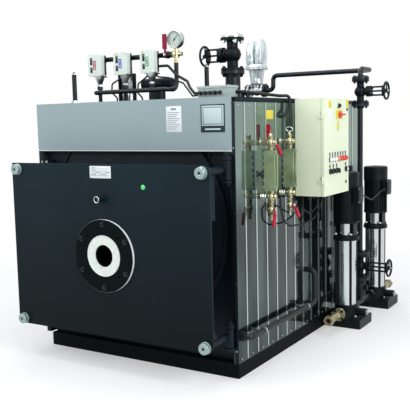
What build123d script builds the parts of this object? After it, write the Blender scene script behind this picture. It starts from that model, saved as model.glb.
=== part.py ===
"""Packaged steam boiler on a steel skid, with burner door, control cabinet,
two feed-water pumps, level gauges and top fittings.

Millimetres. X runs to the right along the burner front, Y runs back, Z is up.
The origin is on the floor, under the middle cross-member of the skid.
"""
import os
from math import cos, radians, sin, sqrt

from build123d import *

os.makedirs("parts", exist_ok=True)

# Casing and skid
side_gap = 40                # room for lagging between the shell and the side panels
top_gap = 47                 # the same above the shell
casing_front = 900           # front face of the casing, ahead of the origin
casing_rear = 1000           # rear face of the casing, behind the origin
skid_height = 80
skid_inset = 44              # the skid's left side lies this far inside the casing
skid_rail = 60
rail_wall = 8
side_thickness = 30
top_thickness = 25
rear_thickness = 30
seam_pitch = 122.5
seam_first = 99              # first standing seam, behind the front edge
seam_width = 11
seam_height = 3
seam_lift = 8                # the seams stop this far above the panel's lower edge
overrun = 20                 # cuts run past the faces they cut
seat = 0.3                   # clearance of curved faces that seat in each other

# Pressure vessel
shell_radius = 620
shell_wall = 12
shell_rise = 100             # the shell's underside is this far above the skid
shell_recess = 20            # the shell's rim lies behind the casing front
shell_rear = 800
tube_plate_thickness = 20
tube_plate_inset = 10        # the tube plate lies inside the shell's front rim
burner_drop = 145            # the burner's axis is this far below the shell's
furnace_radius = 260
furnace_wall = 12
furnace_length = 1450
tube_radius = 30
tube_wall = 4
tube_margin = 245            # from the shell to the circle of the tubes
tube_count = 20
saddle_width = 60
saddle_span = 520
saddle_front = 560           # saddle ahead of the origin
saddle_back = 540            # saddle behind the origin
smoke_box_wall = 6
smoke_box_gap = 12           # room between the smoke box and the rear panel
flue_radius = 125
flue_proud = 70

# Casing front
header_drop = 279            # the header's lower edge is this far below the casing's top
header_thickness = 22
header_sheet = 5
header_rise = 3              # the header stands this far above the top panel
header_inset = 18            # the header stops short of the right side
front_recess = 45            # the black front plate lies behind the casing's edge
front_thickness = 15

# Burner door
door_side_inset = 12         # the door stops short of the casing's sides
door_rise = 120              # the door's lower edge is this far above the skid
door_drop = 58               # its upper edge is this far below the header
door_front = 1140            # front face of the door plate, ahead of the origin
door_plate_thickness = 12
door_corner = 44
door_left_corner = 8
drum_margin = 172            # the round box behind the plate is this much smaller than the shell
drum_wall = 8
door_gap = 6                 # sealing gap between the door and the shell rim
lining_recess = 3
arm_inset = 44               # the arms' places from the door's sides, foot and top
arm_foot_inset = 30
arm_top_inset = 37
arm_radius = 20
arm_catch_gap = 45           # the left arms stop this far ahead of the casing front
knob_radius = 30
knob_length = 27
knob_chamfer = 3
knob_hole = 4.5
knob_hole_depth = 12
hinge_inset = 35             # the hinge axis is this far inside the casing's right side
hinge_ahead = 30             # the hinge axis is ahead of the casing front
pin_radius = 12
eye_radius = 21
eye_height = 100
lug_gap = 5
lug_thickness = 12
lug_radius = 25
lug_inset = 30
pin_head_radius = 19
pin_head_height = 12
gusset_thickness = 10
low_gusset_height = 150
low_gusset_depth = 118
high_gusset_height = 250
high_gusset_depth = 98
catch_rod_radius = 8
catch_rod_reach = 7          # the rods reach this far behind the casing's front face
catch_hole_radius = 13.5
catch_width = 52
catch_height = 80
catch_proud = 15
lifting_eye_width = 40
lifting_eye_rise = 17        # the eye stands this far above the door plate
lifting_eye_hole = 9
lifting_eye_back = 48        # the eye stands this far behind the plate
burner_flange_radius = 200
burner_flange_thickness = 15
throat_radius = 115
fibre_bore_radius = 61
fibre_depth = 150
fibre_inset = 3
fibre_play = 0.5
stud_circle_radius = 150
stud_hole_radius = 5.5
stud_count = 4
flange_bolt_circle_radius = 174
flange_bolt_count = 6
flange_bolt_radius = 11
flange_bolt_height = 8
sight_rise = 312             # above the burner's axis
sight_stub_radius = 12
sight_stub_length = 35
sight_ring_radius = 21
sight_ring_length = 20
sight_window_radius = 12
sight_window_depth = 8

# Control cabinet
cabinet_stand_off = 45
cabinet_depth = 160
cabinet_near = 264           # near side of the cabinet, ahead of the origin
cabinet_width = 388
cabinet_height = 565
cabinet_drop = 4             # the cabinet's top is this far below the casing's
cabinet_wall = 4
cabinet_rail_width = 36
cabinet_rail_inset = 36
cabinet_rail_near = 137      # near rail, from the cabinet's near side
cabinet_rail_far = 28        # far rail, from its far side
mounting_plate_margin = 22
mounting_plate_thickness = 3
cabinet_door_gap = 2
cabinet_door_thickness = 18
cabinet_door_rim = 3
cabinet_barrel_radius = 5
cabinet_pin_radius = 2.5
cabinet_barrel_length = 20
cabinet_barrel_offset = 6    # the hinge axis is this far off the cabinet's side
cabinet_barrel_inset = 95    # the hinges are this far from the top and bottom
strap_thickness = 4
strap_reach = 30
switch_y = 31                # main switch, ahead of the origin
switch_drop = 95             # below the cabinet's top
switch_collar_radius = 20
switch_collar_length = 12
switch_grip_length = 22
switch_grip_width = 12
switch_grip_span = 46

# Top fittings
switch_row = 620             # the row of pressure switches, ahead of the origin
pressure_switch_first = -437
pressure_switch_pitch = 200
pressure_switch_count = 3
pressure_switch_width = 100
pressure_switch_cover = 36
pressure_switch_base = 24
pressure_switch_base_inset = 5
pressure_switch_height = 133
pressure_switch_rise = 170   # the switches' undersides above the casing
pressure_switch_corner = 8
stem_bottom_radius = 12
stem_cone_height = 42
manifold_radius = 15
manifold_rise = 103          # the manifold's axis above the switches' undersides
manifold_back = 20           # clear of the switches' backs
manifold_stub_radius = 10
gauge_x = 117
gauge_rise = 85              # the dial's centre above the manifold's axis
gauge_radius = 51
gauge_depth = 32
gauge_bezel = 5
gauge_glass_depth = 5
gauge_stem_radius = 8
cock_radius = 20
cock_nut_radius = 13
cock_nut_height = 16
manifold_valve_x = 60
manifold_valve_radius = 22
siphon_radius = 13
siphon_rise = 68             # above the casing
siphon_ahead = 672
siphon_bend = 45
siphon_post_x = 80           # post under the siphon pipe
siphon_post_radius = 7
probe_radius = 14
probe_tip_radius = 8
probe_tip_height = 16
probe_base_radius = 30
probe_base_height = 22
probes = ((-507, -760, 178), (178, -330, 208))    # x, y and height of each
junction_x = 535
junction_y = 805
junction_width = 192
junction_depth = 90
junction_height = 52
junction_lid = 12
junction_lid_overhang = 4

# Channel and level vessel behind the switches
channel_x = -261.5
channel_y = 553              # ahead of the origin
channel_width = 117
channel_depth = 30
channel_wall = 5
channel_height = 180
channel_slot_xs = (-285, -241)
channel_slot_rise = 38       # above the casing, as the vessel's axis
channel_slot_height = 46
channel_slot_width = 22
vessel_left = -178
vessel_length = 224
vessel_y = 500               # ahead of the origin
vessel_rise = 110
vessel_radius = 36
vessel_dome = 14
vessel_foot_x = -75
vessel_foot_width = 96
vessel_foot_depth = 40

# Cables and hose, as routes of points along their centre lines
lead_radius = 5
conduit_radius = 8
hose_radius = 9
lead_bend = 18
conduit_bend = 30
hose_bend = 22
loop_bend = 34
switch_2_lead = (
    (-268, -602, 1667),
    (-268, -602, 1645),
    (-333, -612, 1612),
    (-333, -618, 1560),
    (-290, -620, 1525),
    (-290, -620, 1492),
)
switch_3_lead = (
    (-72, -602, 1667),
    (-72, -602, 1645),
    (-134, -612, 1603),
    (-134, -618, 1550),
    (-100, -620, 1520),
    (-100, -620, 1492),
)
box_conduit = (
    (8, -602, 1700),
    (80, -602, 1700),
    (152, -620, 1640),
    (250, -660, 1600),
    (300, -710, 1560),
    (362, -760, 1524),
    (412, -800, 1524),
    (439, -800, 1524),
)
box_lead = (
    (-2, -602, 1667),
    (-2, -602, 1640),
    (100, -625, 1628),
    (220, -655, 1590),
    (278, -705, 1555),
    (362, -782, 1510),
    (412, -822, 1510),
    (439, -822, 1510),
)
edge_hose = (
    (631, -775, 1522),
    (668, -775, 1522),
    (668, -330, 1508),
    (714, -288, 1508),
    (714, -300, 1430),
    (714, -371, 1389),
    (690, -371, 1389),
)
panel_loop = (
    (690, -500, 890),
    (750, -500, 890),
    (756, -478, 800),
    (760, -396, 762),
    (762, -214, 750),
    (764, -57, 770),
    (766, 10, 815),
    (768, 46, 870),
    (768, 46, 923),
)
cabinet_loop = (
    (764, -230, 923),
    (764, -230, 840),
    (766, -120, 800),
    (768, -20, 840),
    (768, -20, 923),
)
motor_loop = (
    (905, 857, 862),
    (905, 800, 862),
    (895, 612, 815),
    (905, 425, 862),
    (905, 368, 862),
)

# Steam stop valve
steam_x = 316
steam_y = 250                # ahead of the origin
steam_valve_rise = 279       # above the casing
steam_face_to_face = 200
steam_flange_radius = 72
steam_flange_thickness = 17
steam_neck_radius = 34
steam_body_radius = 52
steam_bore_radius = 20
steam_wheel_reach = 196
steam_wheel_radius = 66
steam_nozzle_radius = 46
cover_radius = 68
cover_thickness = 12
cover_dome = 10
cover_taper = 35
cover_step = 10

# Feed valve, pump valve and their pipework
feed_pipe_radius = 17
pipe_bend = 50
riser_y = 600                # behind the origin
feed_valve_rise = 55         # above the casing, as the run and the inlet
feed_face_to_face = 165
feed_flange_radius = 57
feed_flange_thickness = 16
feed_neck_radius = 24
feed_body_radius = 40
feed_bore_radius = 13
feed_wheel_reach = 178
pump_wheel_reach = 203
feed_wheel_radius = 62
feed_run_rise = 208
feed_run_y = 800
feed_drop_x = 69
feed_inlet_rise = 102
feed_return_x = -194
pump_valve_z = 356
check_valve_z = 205
check_valve_radius = 36
check_valve_height = 110

# Feed control valve with its actuator
control_x = -70
control_face = 65            # half of its face-to-face length
control_flange_radius = 50
control_flange_thickness = 14
control_body_radius = 38
control_neck_radius = 26
control_neck_height = 157    # from the valve's axis to the actuator
actuator_width = 150
actuator_depth = 120
actuator_height = 227
actuator_corner = 30
actuator_base_height = 36
actuator_lobe_gap = 5

# Level gauges
gauge_offset = 67            # the gauge axis stands this far off the side panel
gauge_places = (-630, -391)
level_body_width = 41
level_body_depth = 60
level_body_bottom = 988
level_body_top = 1205
level_glass_width = 15
level_glass_margin = 22
level_glass_depth = 4
level_valve_top_z = 1249
level_valve_bottom_z = 955
level_valve_radius = 21
level_nipple_radius = 11
level_plug_radius = 14
level_plug_height = 28
drain_z = 885
drain_radius = 18
drain_tail_radius = 8
drain_tail_length = 60

# Quarter-turn levers
lever_hub_radius = 9
lever_thickness = 3
lever_width = 14
lever_neck = 26
sleeve_length = 72
sleeve_width = 22
sleeve_thickness = 10
sleeve_corner = 5
lever_clear = 5              # levers stand this far off the valve bodies
gauge_lever_size = 1.2       # the gauge cock's lever beside the others
nipple_valve_offset = 32     # the nipple's own ball valve stands this far off the side panel
nipple_valve_radius = 17
nipple_valve_length = 26
nipple_stem_radius = 9
nipple_stem_reach = 35

# Blowdown pipe
blowdown_radius = 17
blowdown_offset = 50
blowdown_y = 853             # its start, ahead of the origin
blowdown_z = 222
blowdown_far = -5
blowdown_rise = 430
blowdown_collar_radius = 27
blowdown_collar_length = 18

# Feed-water pumps
pump_offset = 130            # the pumps' axes stand this far off the casing
pump_ys = (335, 920)
pump_plate_fronts = (271, 856)
pump_plate_reach = 117       # the plates reach this far past the pumps' axes
pump_plate_depth = 230
pump_plate_height = 60
pump_plate_wall = 5
foot_width = 190
foot_depth = 120
foot_thickness = 18
foot_corner = 20
port_z = 104
port_radius = 27
port_half_length = 125
port_flange_radius = 46
port_flange_thickness = 16
bowl_radius = 76
bowl_top = 150
side_boss_reach = 140
side_boss_radius = 24
sleeve_radius = 64
pump_head_z = 580
pump_head_thickness = 24
pump_head_radius = 84
tie_rod_radius = 6
tie_rod_circle = 73
tie_rod_count = 4
tie_nut_radius = 12
tie_nut_height = 14
lantern_top = 692
lantern_web = 14
lantern_radius = 70
guard_wall = 2
guard_gap = 2
motor_flange_radius = 82
motor_flange_thickness = 14
motor_radius = 74
motor_top = 925
fin_count = 24
fin_height = 7
fin_thickness = 3
fan_cover_radius = 84
fan_cover_top = 1025
fan_cover_fillet = 12
terminal_reach = 30
terminal_width = 96
terminal_height = 104
terminal_z = 877
terminal_shift = 15          # the terminal box sits this far ahead of the motor's axis
union_front = 20
union_nut_radius = 33
union_nut_length = 34
union_body_radius = 24
union_bore_radius = 17

# Handwheels
wheel_rim_radius = 7
wheel_hub_radius = 13
wheel_hub_length = 18
wheel_spoke_radius = 4.5
wheel_spokes = 3
stem_radius = 6
stem_play = 0.4
yoke_bar_radius = 6
yoke_margin = 3              # the yoke's ends reach this far past its bars
yoke_collar_radius = 15
yoke_collar_length = 14
bonnet_length = 34

# Places worked out from the sizes above
half_width = shell_radius + side_gap + side_thickness
casing_width = 2 * half_width
shell_axis_z = skid_height + shell_rise + shell_radius
casing_top = shell_axis_z + shell_radius + top_gap + top_thickness
skid_left = half_width - skid_inset
burner_axis_z = shell_axis_z - burner_drop
tube_circle = shell_radius - tube_margin
header_bottom = casing_top - header_drop
drum_radius = shell_radius - drum_margin
front_y = -casing_front
casing_length = casing_front + casing_rear
casing_mid_y = (casing_rear - casing_front) / 2
panel_top = casing_top - top_thickness
panel_height = panel_top - skid_height
inner_half = half_width - side_thickness
shell_front_y = front_y + shell_recess
tube_plate_y = shell_front_y + tube_plate_inset
front_plate_y = front_y + front_recess
header_back_y = front_y - header_sheet + header_thickness
hinge_y = front_y - hinge_ahead
hinge_x = half_width - hinge_inset
door_half_width = half_width - door_side_inset
door_bottom = skid_height + door_rise
door_top = header_bottom - door_drop
arm_x = door_half_width - arm_inset
arm_low_z = door_bottom + arm_foot_inset
arm_high_z = door_top - arm_top_inset
sight_z = burner_axis_z + sight_rise
door_y = -door_front
door_back_y = door_y + door_plate_thickness
drum_back_y = shell_front_y - door_gap
door_mid_z = (door_bottom + door_top) / 2
door_height = door_top - door_bottom
cabinet_x = half_width + cabinet_stand_off
cabinet_face_x = cabinet_x + cabinet_depth
cabinet_door_x = cabinet_face_x + cabinet_door_gap
cabinet_front_x = cabinet_door_x + cabinet_door_thickness
cabinet_top = casing_top - cabinet_drop
cabinet_bottom = cabinet_top - cabinet_height
switch_z = cabinet_top - switch_drop
cabinet_y = -cabinet_near
cabinet_mid_y = cabinet_y + cabinet_width / 2
cabinet_mid_z = (cabinet_bottom + cabinet_top) / 2
gauge_axis_x = half_width + gauge_offset
pressure_switch_bottom = casing_top + pressure_switch_rise
manifold_z = pressure_switch_bottom + manifold_rise
gauge_z = manifold_z + gauge_rise
siphon_low_z = casing_top + siphon_rise
channel_slot_z = casing_top + channel_slot_rise
vessel_z = casing_top + vessel_rise
steam_valve_z = casing_top + steam_valve_rise
feed_valve_z = casing_top + feed_valve_rise
feed_run_z = casing_top + feed_run_rise
feed_inlet_z = casing_top + feed_inlet_rise
control_neck_top = feed_inlet_z + control_neck_height
pump_x = half_width + pump_offset
pump_plate_right = pump_x + pump_plate_reach
switch_back_y = -switch_row + (pressure_switch_cover + pressure_switch_base) / 2
switch_front_y = switch_back_y - pressure_switch_cover - pressure_switch_base
manifold_y = switch_back_y + manifold_back


def facing(y):
    """Upright plane at depth y, seen from the front: local x is X and local y is Z."""
    return Plane.XZ.offset(-y)


def across(x):
    """Upright plane at x, seen from the right: local x is Y and local y is Z."""
    return Plane.YZ.offset(x)


# Skid: rails and cross-members with open bays between them, and the saddles that carry the shell
skid_width = half_width + skid_left
skid_mid_x = (half_width - skid_left) / 2
skid_bays = (
    (front_y + skid_rail, -saddle_front - saddle_width / 2),
    (-saddle_front + saddle_width / 2, -skid_rail / 2),
    (skid_rail / 2, saddle_back - saddle_width / 2),
    (saddle_back + saddle_width / 2, casing_rear - skid_rail),
)
saddle_reach = shell_radius + seat
saddle_top = shell_axis_z - sqrt(saddle_reach**2 - (saddle_span / 2) ** 2)
with BuildPart() as base_frame:
    with BuildSketch(Plane.XY):
        with Locations((skid_mid_x, casing_mid_y)):
            Rectangle(skid_width, casing_length)
        for bay_near, bay_far in skid_bays:
            with Locations((skid_mid_x, (bay_near + bay_far) / 2)):
                Rectangle(skid_width - 2 * skid_rail, bay_far - bay_near, mode=Mode.SUBTRACT)
    extrude(amount=skid_height)
    with BuildSketch(Plane.XY.offset(rail_wall)):
        for bay_near, bay_far in skid_bays:
            with Locations((skid_mid_x, (bay_near + bay_far) / 2)):
                Rectangle(skid_width - 2 * rail_wall, bay_far - bay_near)
    extrude(amount=skid_height - 2 * rail_wall, mode=Mode.SUBTRACT)
    for saddle_y in (-saddle_front, saddle_back):
        with BuildSketch(facing(saddle_y - saddle_width / 2)):
            with Locations((0, (skid_height + saddle_top) / 2)):
                Rectangle(saddle_span, saddle_top - skid_height)
            with Locations((0, shell_axis_z)):
                Circle(saddle_reach, mode=Mode.SUBTRACT)
        extrude(amount=-saddle_width)
base_frame.part.label = "base_frame"
export_step(base_frame.part, "parts/base_frame.step")

# Shell of the pressure vessel
with BuildPart() as pressure_shell:
    with BuildSketch(facing(shell_front_y)):
        with Locations((0, shell_axis_z)):
            Circle(shell_radius)
            Circle(shell_radius - shell_wall, mode=Mode.SUBTRACT)
    extrude(amount=-(shell_rear - shell_front_y))
pressure_shell.part.label = "pressure_shell"
export_step(pressure_shell.part, "parts/pressure_shell.step")

# Tube plates, front and rear, bored for the furnace and the smoke tubes
rear_plate_y = shell_rear - tube_plate_thickness
with BuildPart() as tube_plates:
    for plate_y, has_furnace in ((tube_plate_y, True), (rear_plate_y, False)):
        with BuildSketch(facing(plate_y)):
            with Locations((0, shell_axis_z)):
                Circle(shell_radius - shell_wall - seat)
            if has_furnace:
                with Locations((0, burner_axis_z)):
                    Circle(furnace_radius + seat, mode=Mode.SUBTRACT)
            with Locations((0, burner_axis_z)):
                with PolarLocations(tube_circle, tube_count, start_angle=180 / tube_count):
                    Circle(tube_radius + seat, mode=Mode.SUBTRACT)
        extrude(amount=-tube_plate_thickness)
tube_plates.part.label = "tube_plates"
export_step(tube_plates.part, "parts/tube_plates.step")

# Furnace, closed at its far end
with BuildPart() as furnace:
    with BuildSketch(facing(tube_plate_y)):
        with Locations((0, burner_axis_z)):
            Circle(furnace_radius)
    extrude(amount=-furnace_length)
    with BuildSketch(facing(tube_plate_y)):
        with Locations((0, burner_axis_z)):
            Circle(furnace_radius - furnace_wall)
    extrude(amount=-(furnace_length - furnace_wall), mode=Mode.SUBTRACT)
furnace.part.label = "furnace"
export_step(furnace.part, "parts/furnace.step")

# Ring of smoke tubes around the furnace
with BuildPart() as smoke_tubes:
    with BuildSketch(facing(tube_plate_y)):
        with Locations((0, burner_axis_z)):
            with PolarLocations(tube_circle, tube_count, start_angle=180 / tube_count):
                Circle(tube_radius)
                Circle(tube_radius - tube_wall, mode=Mode.SUBTRACT)
    extrude(amount=-(shell_rear - tube_plate_y))
smoke_tubes.part.label = "smoke_tubes"
export_step(smoke_tubes.part, "parts/smoke_tubes.step")

# Smoke box behind the rear tube plate
smoke_box_rear = casing_rear - rear_thickness - smoke_box_gap
smoke_box_inner_rear = smoke_box_rear - smoke_box_wall
flue_end = casing_rear + flue_proud
with BuildPart() as smoke_box:
    with BuildSketch(facing(shell_rear)):
        with Locations((0, shell_axis_z)):
            Circle(shell_radius - shell_wall)
    extrude(amount=-(smoke_box_rear - shell_rear))
    with BuildSketch(facing(shell_rear)):
        with Locations((0, shell_axis_z)):
            Circle(shell_radius - shell_wall - smoke_box_wall)
    extrude(amount=-(smoke_box_inner_rear - shell_rear), mode=Mode.SUBTRACT)
    with BuildSketch(facing(smoke_box_inner_rear)):
        with Locations((0, shell_axis_z)):
            Circle(flue_radius + seat)
    extrude(amount=-smoke_box_wall, mode=Mode.SUBTRACT)
smoke_box.part.label = "smoke_box"
export_step(smoke_box.part, "parts/smoke_box.step")

# Flue collar, let into the smoke box's back
with BuildPart() as flue_collar:
    with BuildSketch(facing(smoke_box_inner_rear)):
        with Locations((0, shell_axis_z)):
            Circle(flue_radius)
            Circle(flue_radius - smoke_box_wall, mode=Mode.SUBTRACT)
    extrude(amount=-(flue_end - smoke_box_inner_rear))
flue_collar.part.label = "flue_collar"
export_step(flue_collar.part, "parts/flue_collar.step")

# Polished side panels with standing seams between the folded sheets
seam_places = []
seam_y = front_y + seam_first
while seam_y < casing_rear - seam_pitch / 2:
    seam_places.append(seam_y)
    seam_y += seam_pitch


def side_panel(inner_x, seam_x):
    """One side panel. Its seams stand on the face at seam_x."""
    with BuildPart() as panel:
        with BuildSketch(across(inner_x)):
            with Locations((casing_mid_y, skid_height + panel_height / 2)):
                Rectangle(casing_length, panel_height)
        extrude(amount=side_thickness)
        with BuildSketch(across(seam_x)):
            with Locations(*[(y, skid_height + (panel_height + seam_lift) / 2) for y in seam_places]):
                Rectangle(seam_width, panel_height - seam_lift)
        extrude(amount=seam_height)
    return panel.part


with BuildPart() as side_panels:
    add(side_panel(inner_half, half_width))
    add(side_panel(-half_width, -half_width - seam_height))
side_panels.part.label = "side_panels"
export_step(side_panels.part, "parts/side_panels.step")

# Top panel, notched for the header
header_body_depth = header_back_y - front_y
with BuildPart() as top_panel:
    with BuildSketch(Plane.XY.offset(panel_top)):
        with Locations((0, casing_mid_y)):
            Rectangle(casing_width, casing_length)
        with Locations((0, front_y + header_body_depth / 2)):
            Rectangle(2 * inner_half, header_body_depth, mode=Mode.SUBTRACT)
    extrude(amount=top_thickness)
top_panel.part.label = "top_panel"
export_step(top_panel.part, "parts/top_panel.step")

# Rear panel, bored for the flue collar
with BuildPart() as rear_panel:
    with BuildSketch(facing(casing_rear - rear_thickness)):
        with Locations((0, skid_height + panel_height / 2)):
            Rectangle(2 * inner_half, panel_height)
        with Locations((0, shell_axis_z)):
            Circle(flue_radius + seat, mode=Mode.SUBTRACT)
    extrude(amount=-rear_thickness)
rear_panel.part.label = "rear_panel"
export_step(rear_panel.part, "parts/rear_panel.step")

# Header panel over the door
header_top = casing_top + header_rise
header_height = header_top - header_bottom
header_mid_z = (header_top + header_bottom) / 2
header_width = casing_width - header_inset
with BuildPart() as header_panel:
    with BuildSketch(facing(front_y - header_sheet)):
        with Locations((-header_inset / 2, header_mid_z)):
            Rectangle(header_width, header_height)
    extrude(amount=-header_sheet)
    with BuildSketch(facing(front_y)):
        with Locations((0, header_mid_z)):
            Rectangle(2 * inner_half, header_height)
    extrude(amount=-(header_thickness - header_sheet))
header_panel.part.label = "header_panel"
export_step(header_panel.part, "parts/header_panel.step")

# Black front plate around the shell
with BuildPart() as front_plate:
    with BuildSketch(facing(front_plate_y)):
        with Locations((0, skid_height + panel_height / 2)):
            Rectangle(2 * inner_half, panel_height)
        with Locations((0, shell_axis_z)):
            Circle(shell_radius + seat, mode=Mode.SUBTRACT)
    extrude(amount=-front_thickness)
front_plate.part.label = "front_plate"
export_step(front_plate.part, "parts/front_plate.step")

# Hinge brackets: two lugs and a headed pin at each right-hand corner of the door
lug_reach = eye_height / 2 + lug_gap
with BuildPart() as hinge_brackets:
    for hinge_z in (arm_low_z, arm_high_z):
        for lug_low in (hinge_z + lug_reach, hinge_z - lug_reach - lug_thickness):
            with BuildSketch(Plane.XY.offset(lug_low)):
                with Locations((inner_half - lug_inset / 2, (hinge_y + front_plate_y) / 2)):
                    Rectangle(lug_inset, front_plate_y - hinge_y)
                with Locations((hinge_x, hinge_y)):
                    Circle(lug_radius)
            extrude(amount=lug_thickness)
        with BuildSketch(Plane.XY.offset(hinge_z - lug_reach - lug_thickness)):
            with Locations((hinge_x, hinge_y)):
                Circle(pin_radius)
        extrude(amount=2 * (lug_reach + lug_thickness))
        with BuildSketch(Plane.XY.offset(hinge_z + lug_reach + lug_thickness)):
            with Locations((hinge_x, hinge_y)):
                Circle(pin_head_radius)
        extrude(amount=pin_head_height)
hinge_brackets.part.label = "hinge_brackets"
export_step(hinge_brackets.part, "parts/hinge_brackets.step")

# Catch blocks that the left-hand clamp rods enter
catch_mid_x = -inner_half + catch_width / 2
catch_depth = catch_proud + front_recess
with BuildPart() as catch_blocks:
    for catch_z in (arm_low_z, arm_high_z):
        with BuildSketch(facing(front_y - catch_proud)):
            with Locations((catch_mid_x, catch_z)):
                Rectangle(catch_width, catch_height)
            with Locations((-arm_x, catch_z)):
                Circle(catch_hole_radius, mode=Mode.SUBTRACT)
        extrude(amount=-catch_depth)
catch_blocks.part.label = "catch_blocks"
export_step(catch_blocks.part, "parts/catch_blocks.step")

# Burner door: front plate, round box behind it and lifting eye, welded together
with BuildPart() as door_plate:
    with BuildSketch(facing(door_y)) as door_outline:
        with Locations((0, door_mid_z)):
            Rectangle(2 * door_half_width, door_height)
        fillet(door_outline.vertices().group_by(Axis.X)[-1], door_corner)
        fillet(door_outline.vertices().group_by(Axis.X)[0], door_left_corner)
        with Locations((0, burner_axis_z)):
            Circle(throat_radius, mode=Mode.SUBTRACT)
        with Locations((0, sight_z)):
            Circle(sight_window_radius, mode=Mode.SUBTRACT)
    extrude(amount=-door_plate_thickness)
    with BuildSketch(facing(door_back_y)):
        with Locations((0, burner_axis_z)):
            Circle(drum_radius)
            Circle(drum_radius - drum_wall, mode=Mode.SUBTRACT)
    extrude(amount=-(drum_back_y - door_back_y))
    lifting_eye_bottom = burner_axis_z + drum_radius - drum_wall
    lifting_eye_top = door_top + lifting_eye_rise
    with BuildSketch(facing(door_back_y + lifting_eye_back)):
        with Locations((0, (lifting_eye_bottom + lifting_eye_top) / 2)):
            Rectangle(lifting_eye_width, lifting_eye_top - lifting_eye_bottom)
        with Locations((0, lifting_eye_top - lifting_eye_width / 2)):
            Circle(lifting_eye_hole, mode=Mode.SUBTRACT)
    extrude(amount=-door_plate_thickness)
door_plate.part.label = "door_plate"
export_step(door_plate.part, "parts/door_plate.step")

# Refractory lining inside the round box, open at the burner throat
with BuildPart() as door_lining:
    with BuildSketch(facing(door_back_y)):
        with Locations((0, burner_axis_z)):
            Circle(drum_radius - drum_wall - seat)
            Circle(throat_radius, mode=Mode.SUBTRACT)
        with Locations((0, sight_z)):
            Circle(sight_window_radius, mode=Mode.SUBTRACT)
    extrude(amount=-(drum_back_y - lining_recess - door_back_y))
door_lining.part.label = "door_lining"
export_step(door_lining.part, "parts/door_lining.step")

# Burner flange with its bolts and the burner's stud holes
flange_y = door_y - burner_flange_thickness
with BuildPart() as burner_flange:
    with BuildSketch(facing(flange_y)):
        with Locations((0, burner_axis_z)):
            Circle(burner_flange_radius)
            Circle(throat_radius, mode=Mode.SUBTRACT)
            with PolarLocations(stud_circle_radius, stud_count, start_angle=180 / stud_count):
                Circle(stud_hole_radius, mode=Mode.SUBTRACT)
    extrude(amount=-burner_flange_thickness)
    with BuildSketch(facing(flange_y - flange_bolt_height)):
        with Locations((0, burner_axis_z)):
            with PolarLocations(flange_bolt_circle_radius, flange_bolt_count, start_angle=90):
                RegularPolygon(flange_bolt_radius, 6)
    extrude(amount=-flange_bolt_height)
burner_flange.part.label = "burner_flange"
export_step(burner_flange.part, "parts/burner_flange.step")

# Ceramic fibre ring that packs the throat around the burner tube
with BuildPart() as burner_fibre_ring:
    with BuildSketch(facing(flange_y + fibre_inset)):
        with Locations((0, burner_axis_z)):
            Circle(throat_radius - fibre_play)
            Circle(fibre_bore_radius, mode=Mode.SUBTRACT)
    extrude(amount=-fibre_depth)
burner_fibre_ring.part.label = "burner_fibre_ring"
export_step(burner_fibre_ring.part, "parts/burner_fibre_ring.step")

# Sight glass over the burner
sight_stub_y = door_y - sight_stub_length
sight_ring_y = sight_stub_y - sight_ring_length
with BuildPart() as sight_glass:
    with BuildSketch(facing(sight_stub_y)):
        with Locations((0, sight_z)):
            Circle(sight_stub_radius)
    extrude(amount=-sight_stub_length)
    with BuildSketch(facing(sight_ring_y)):
        with Locations((0, sight_z)):
            Circle(sight_ring_radius)
    extrude(amount=-sight_ring_length)
    with BuildSketch(facing(sight_ring_y)):
        with Locations((0, sight_z)):
            Circle(sight_window_radius)
    extrude(amount=-sight_window_depth, mode=Mode.SUBTRACT)
sight_glass.part.label = "sight_glass"
export_step(sight_glass.part, "parts/sight_glass.step")

# Door arms: the right pair ends in hinge eyes, the left pair in clamp rods
left_arm_end_y = front_y - arm_catch_gap
with BuildPart() as door_arms:
    for arm_z in (arm_low_z, arm_high_z):
        with BuildSketch(facing(door_back_y)):
            with Locations((arm_x, arm_z)):
                Circle(arm_radius)
        extrude(amount=-(hinge_y - door_back_y))
        with BuildSketch(Plane.XY.offset(arm_z - eye_height / 2)):
            with Locations((hinge_x, hinge_y)):
                Circle(eye_radius)
        extrude(amount=eye_height)
        with BuildSketch(Plane.XY.offset(arm_z - eye_height / 2 - overrun)):
            with Locations((hinge_x, hinge_y)):
                Circle(pin_radius + seat)
        extrude(amount=eye_height + 2 * overrun, mode=Mode.SUBTRACT)
        with BuildSketch(facing(door_back_y)):
            with Locations((-arm_x, arm_z)):
                Circle(arm_radius)
        extrude(amount=-(left_arm_end_y - door_back_y))
        with BuildSketch(facing(left_arm_end_y)):
            with Locations((-arm_x, arm_z)):
                Circle(catch_rod_radius)
        extrude(amount=-(front_y + catch_rod_reach - left_arm_end_y))
    with BuildSketch(across(arm_x - gusset_thickness / 2)):
        with BuildLine():
            Polyline(
                (door_back_y, arm_low_z),
                (door_back_y + low_gusset_depth, arm_low_z),
                (door_back_y, arm_low_z + low_gusset_height),
                close=True,
            )
        make_face()
    extrude(amount=gusset_thickness)
    with BuildSketch(across(arm_x - gusset_thickness / 2)):
        with Locations((door_back_y + high_gusset_depth / 2, arm_high_z - high_gusset_height / 2)):
            Rectangle(high_gusset_depth, high_gusset_height)
    extrude(amount=gusset_thickness)
door_arms.part.label = "door_arms"
export_step(door_arms.part, "parts/door_arms.step")

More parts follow.
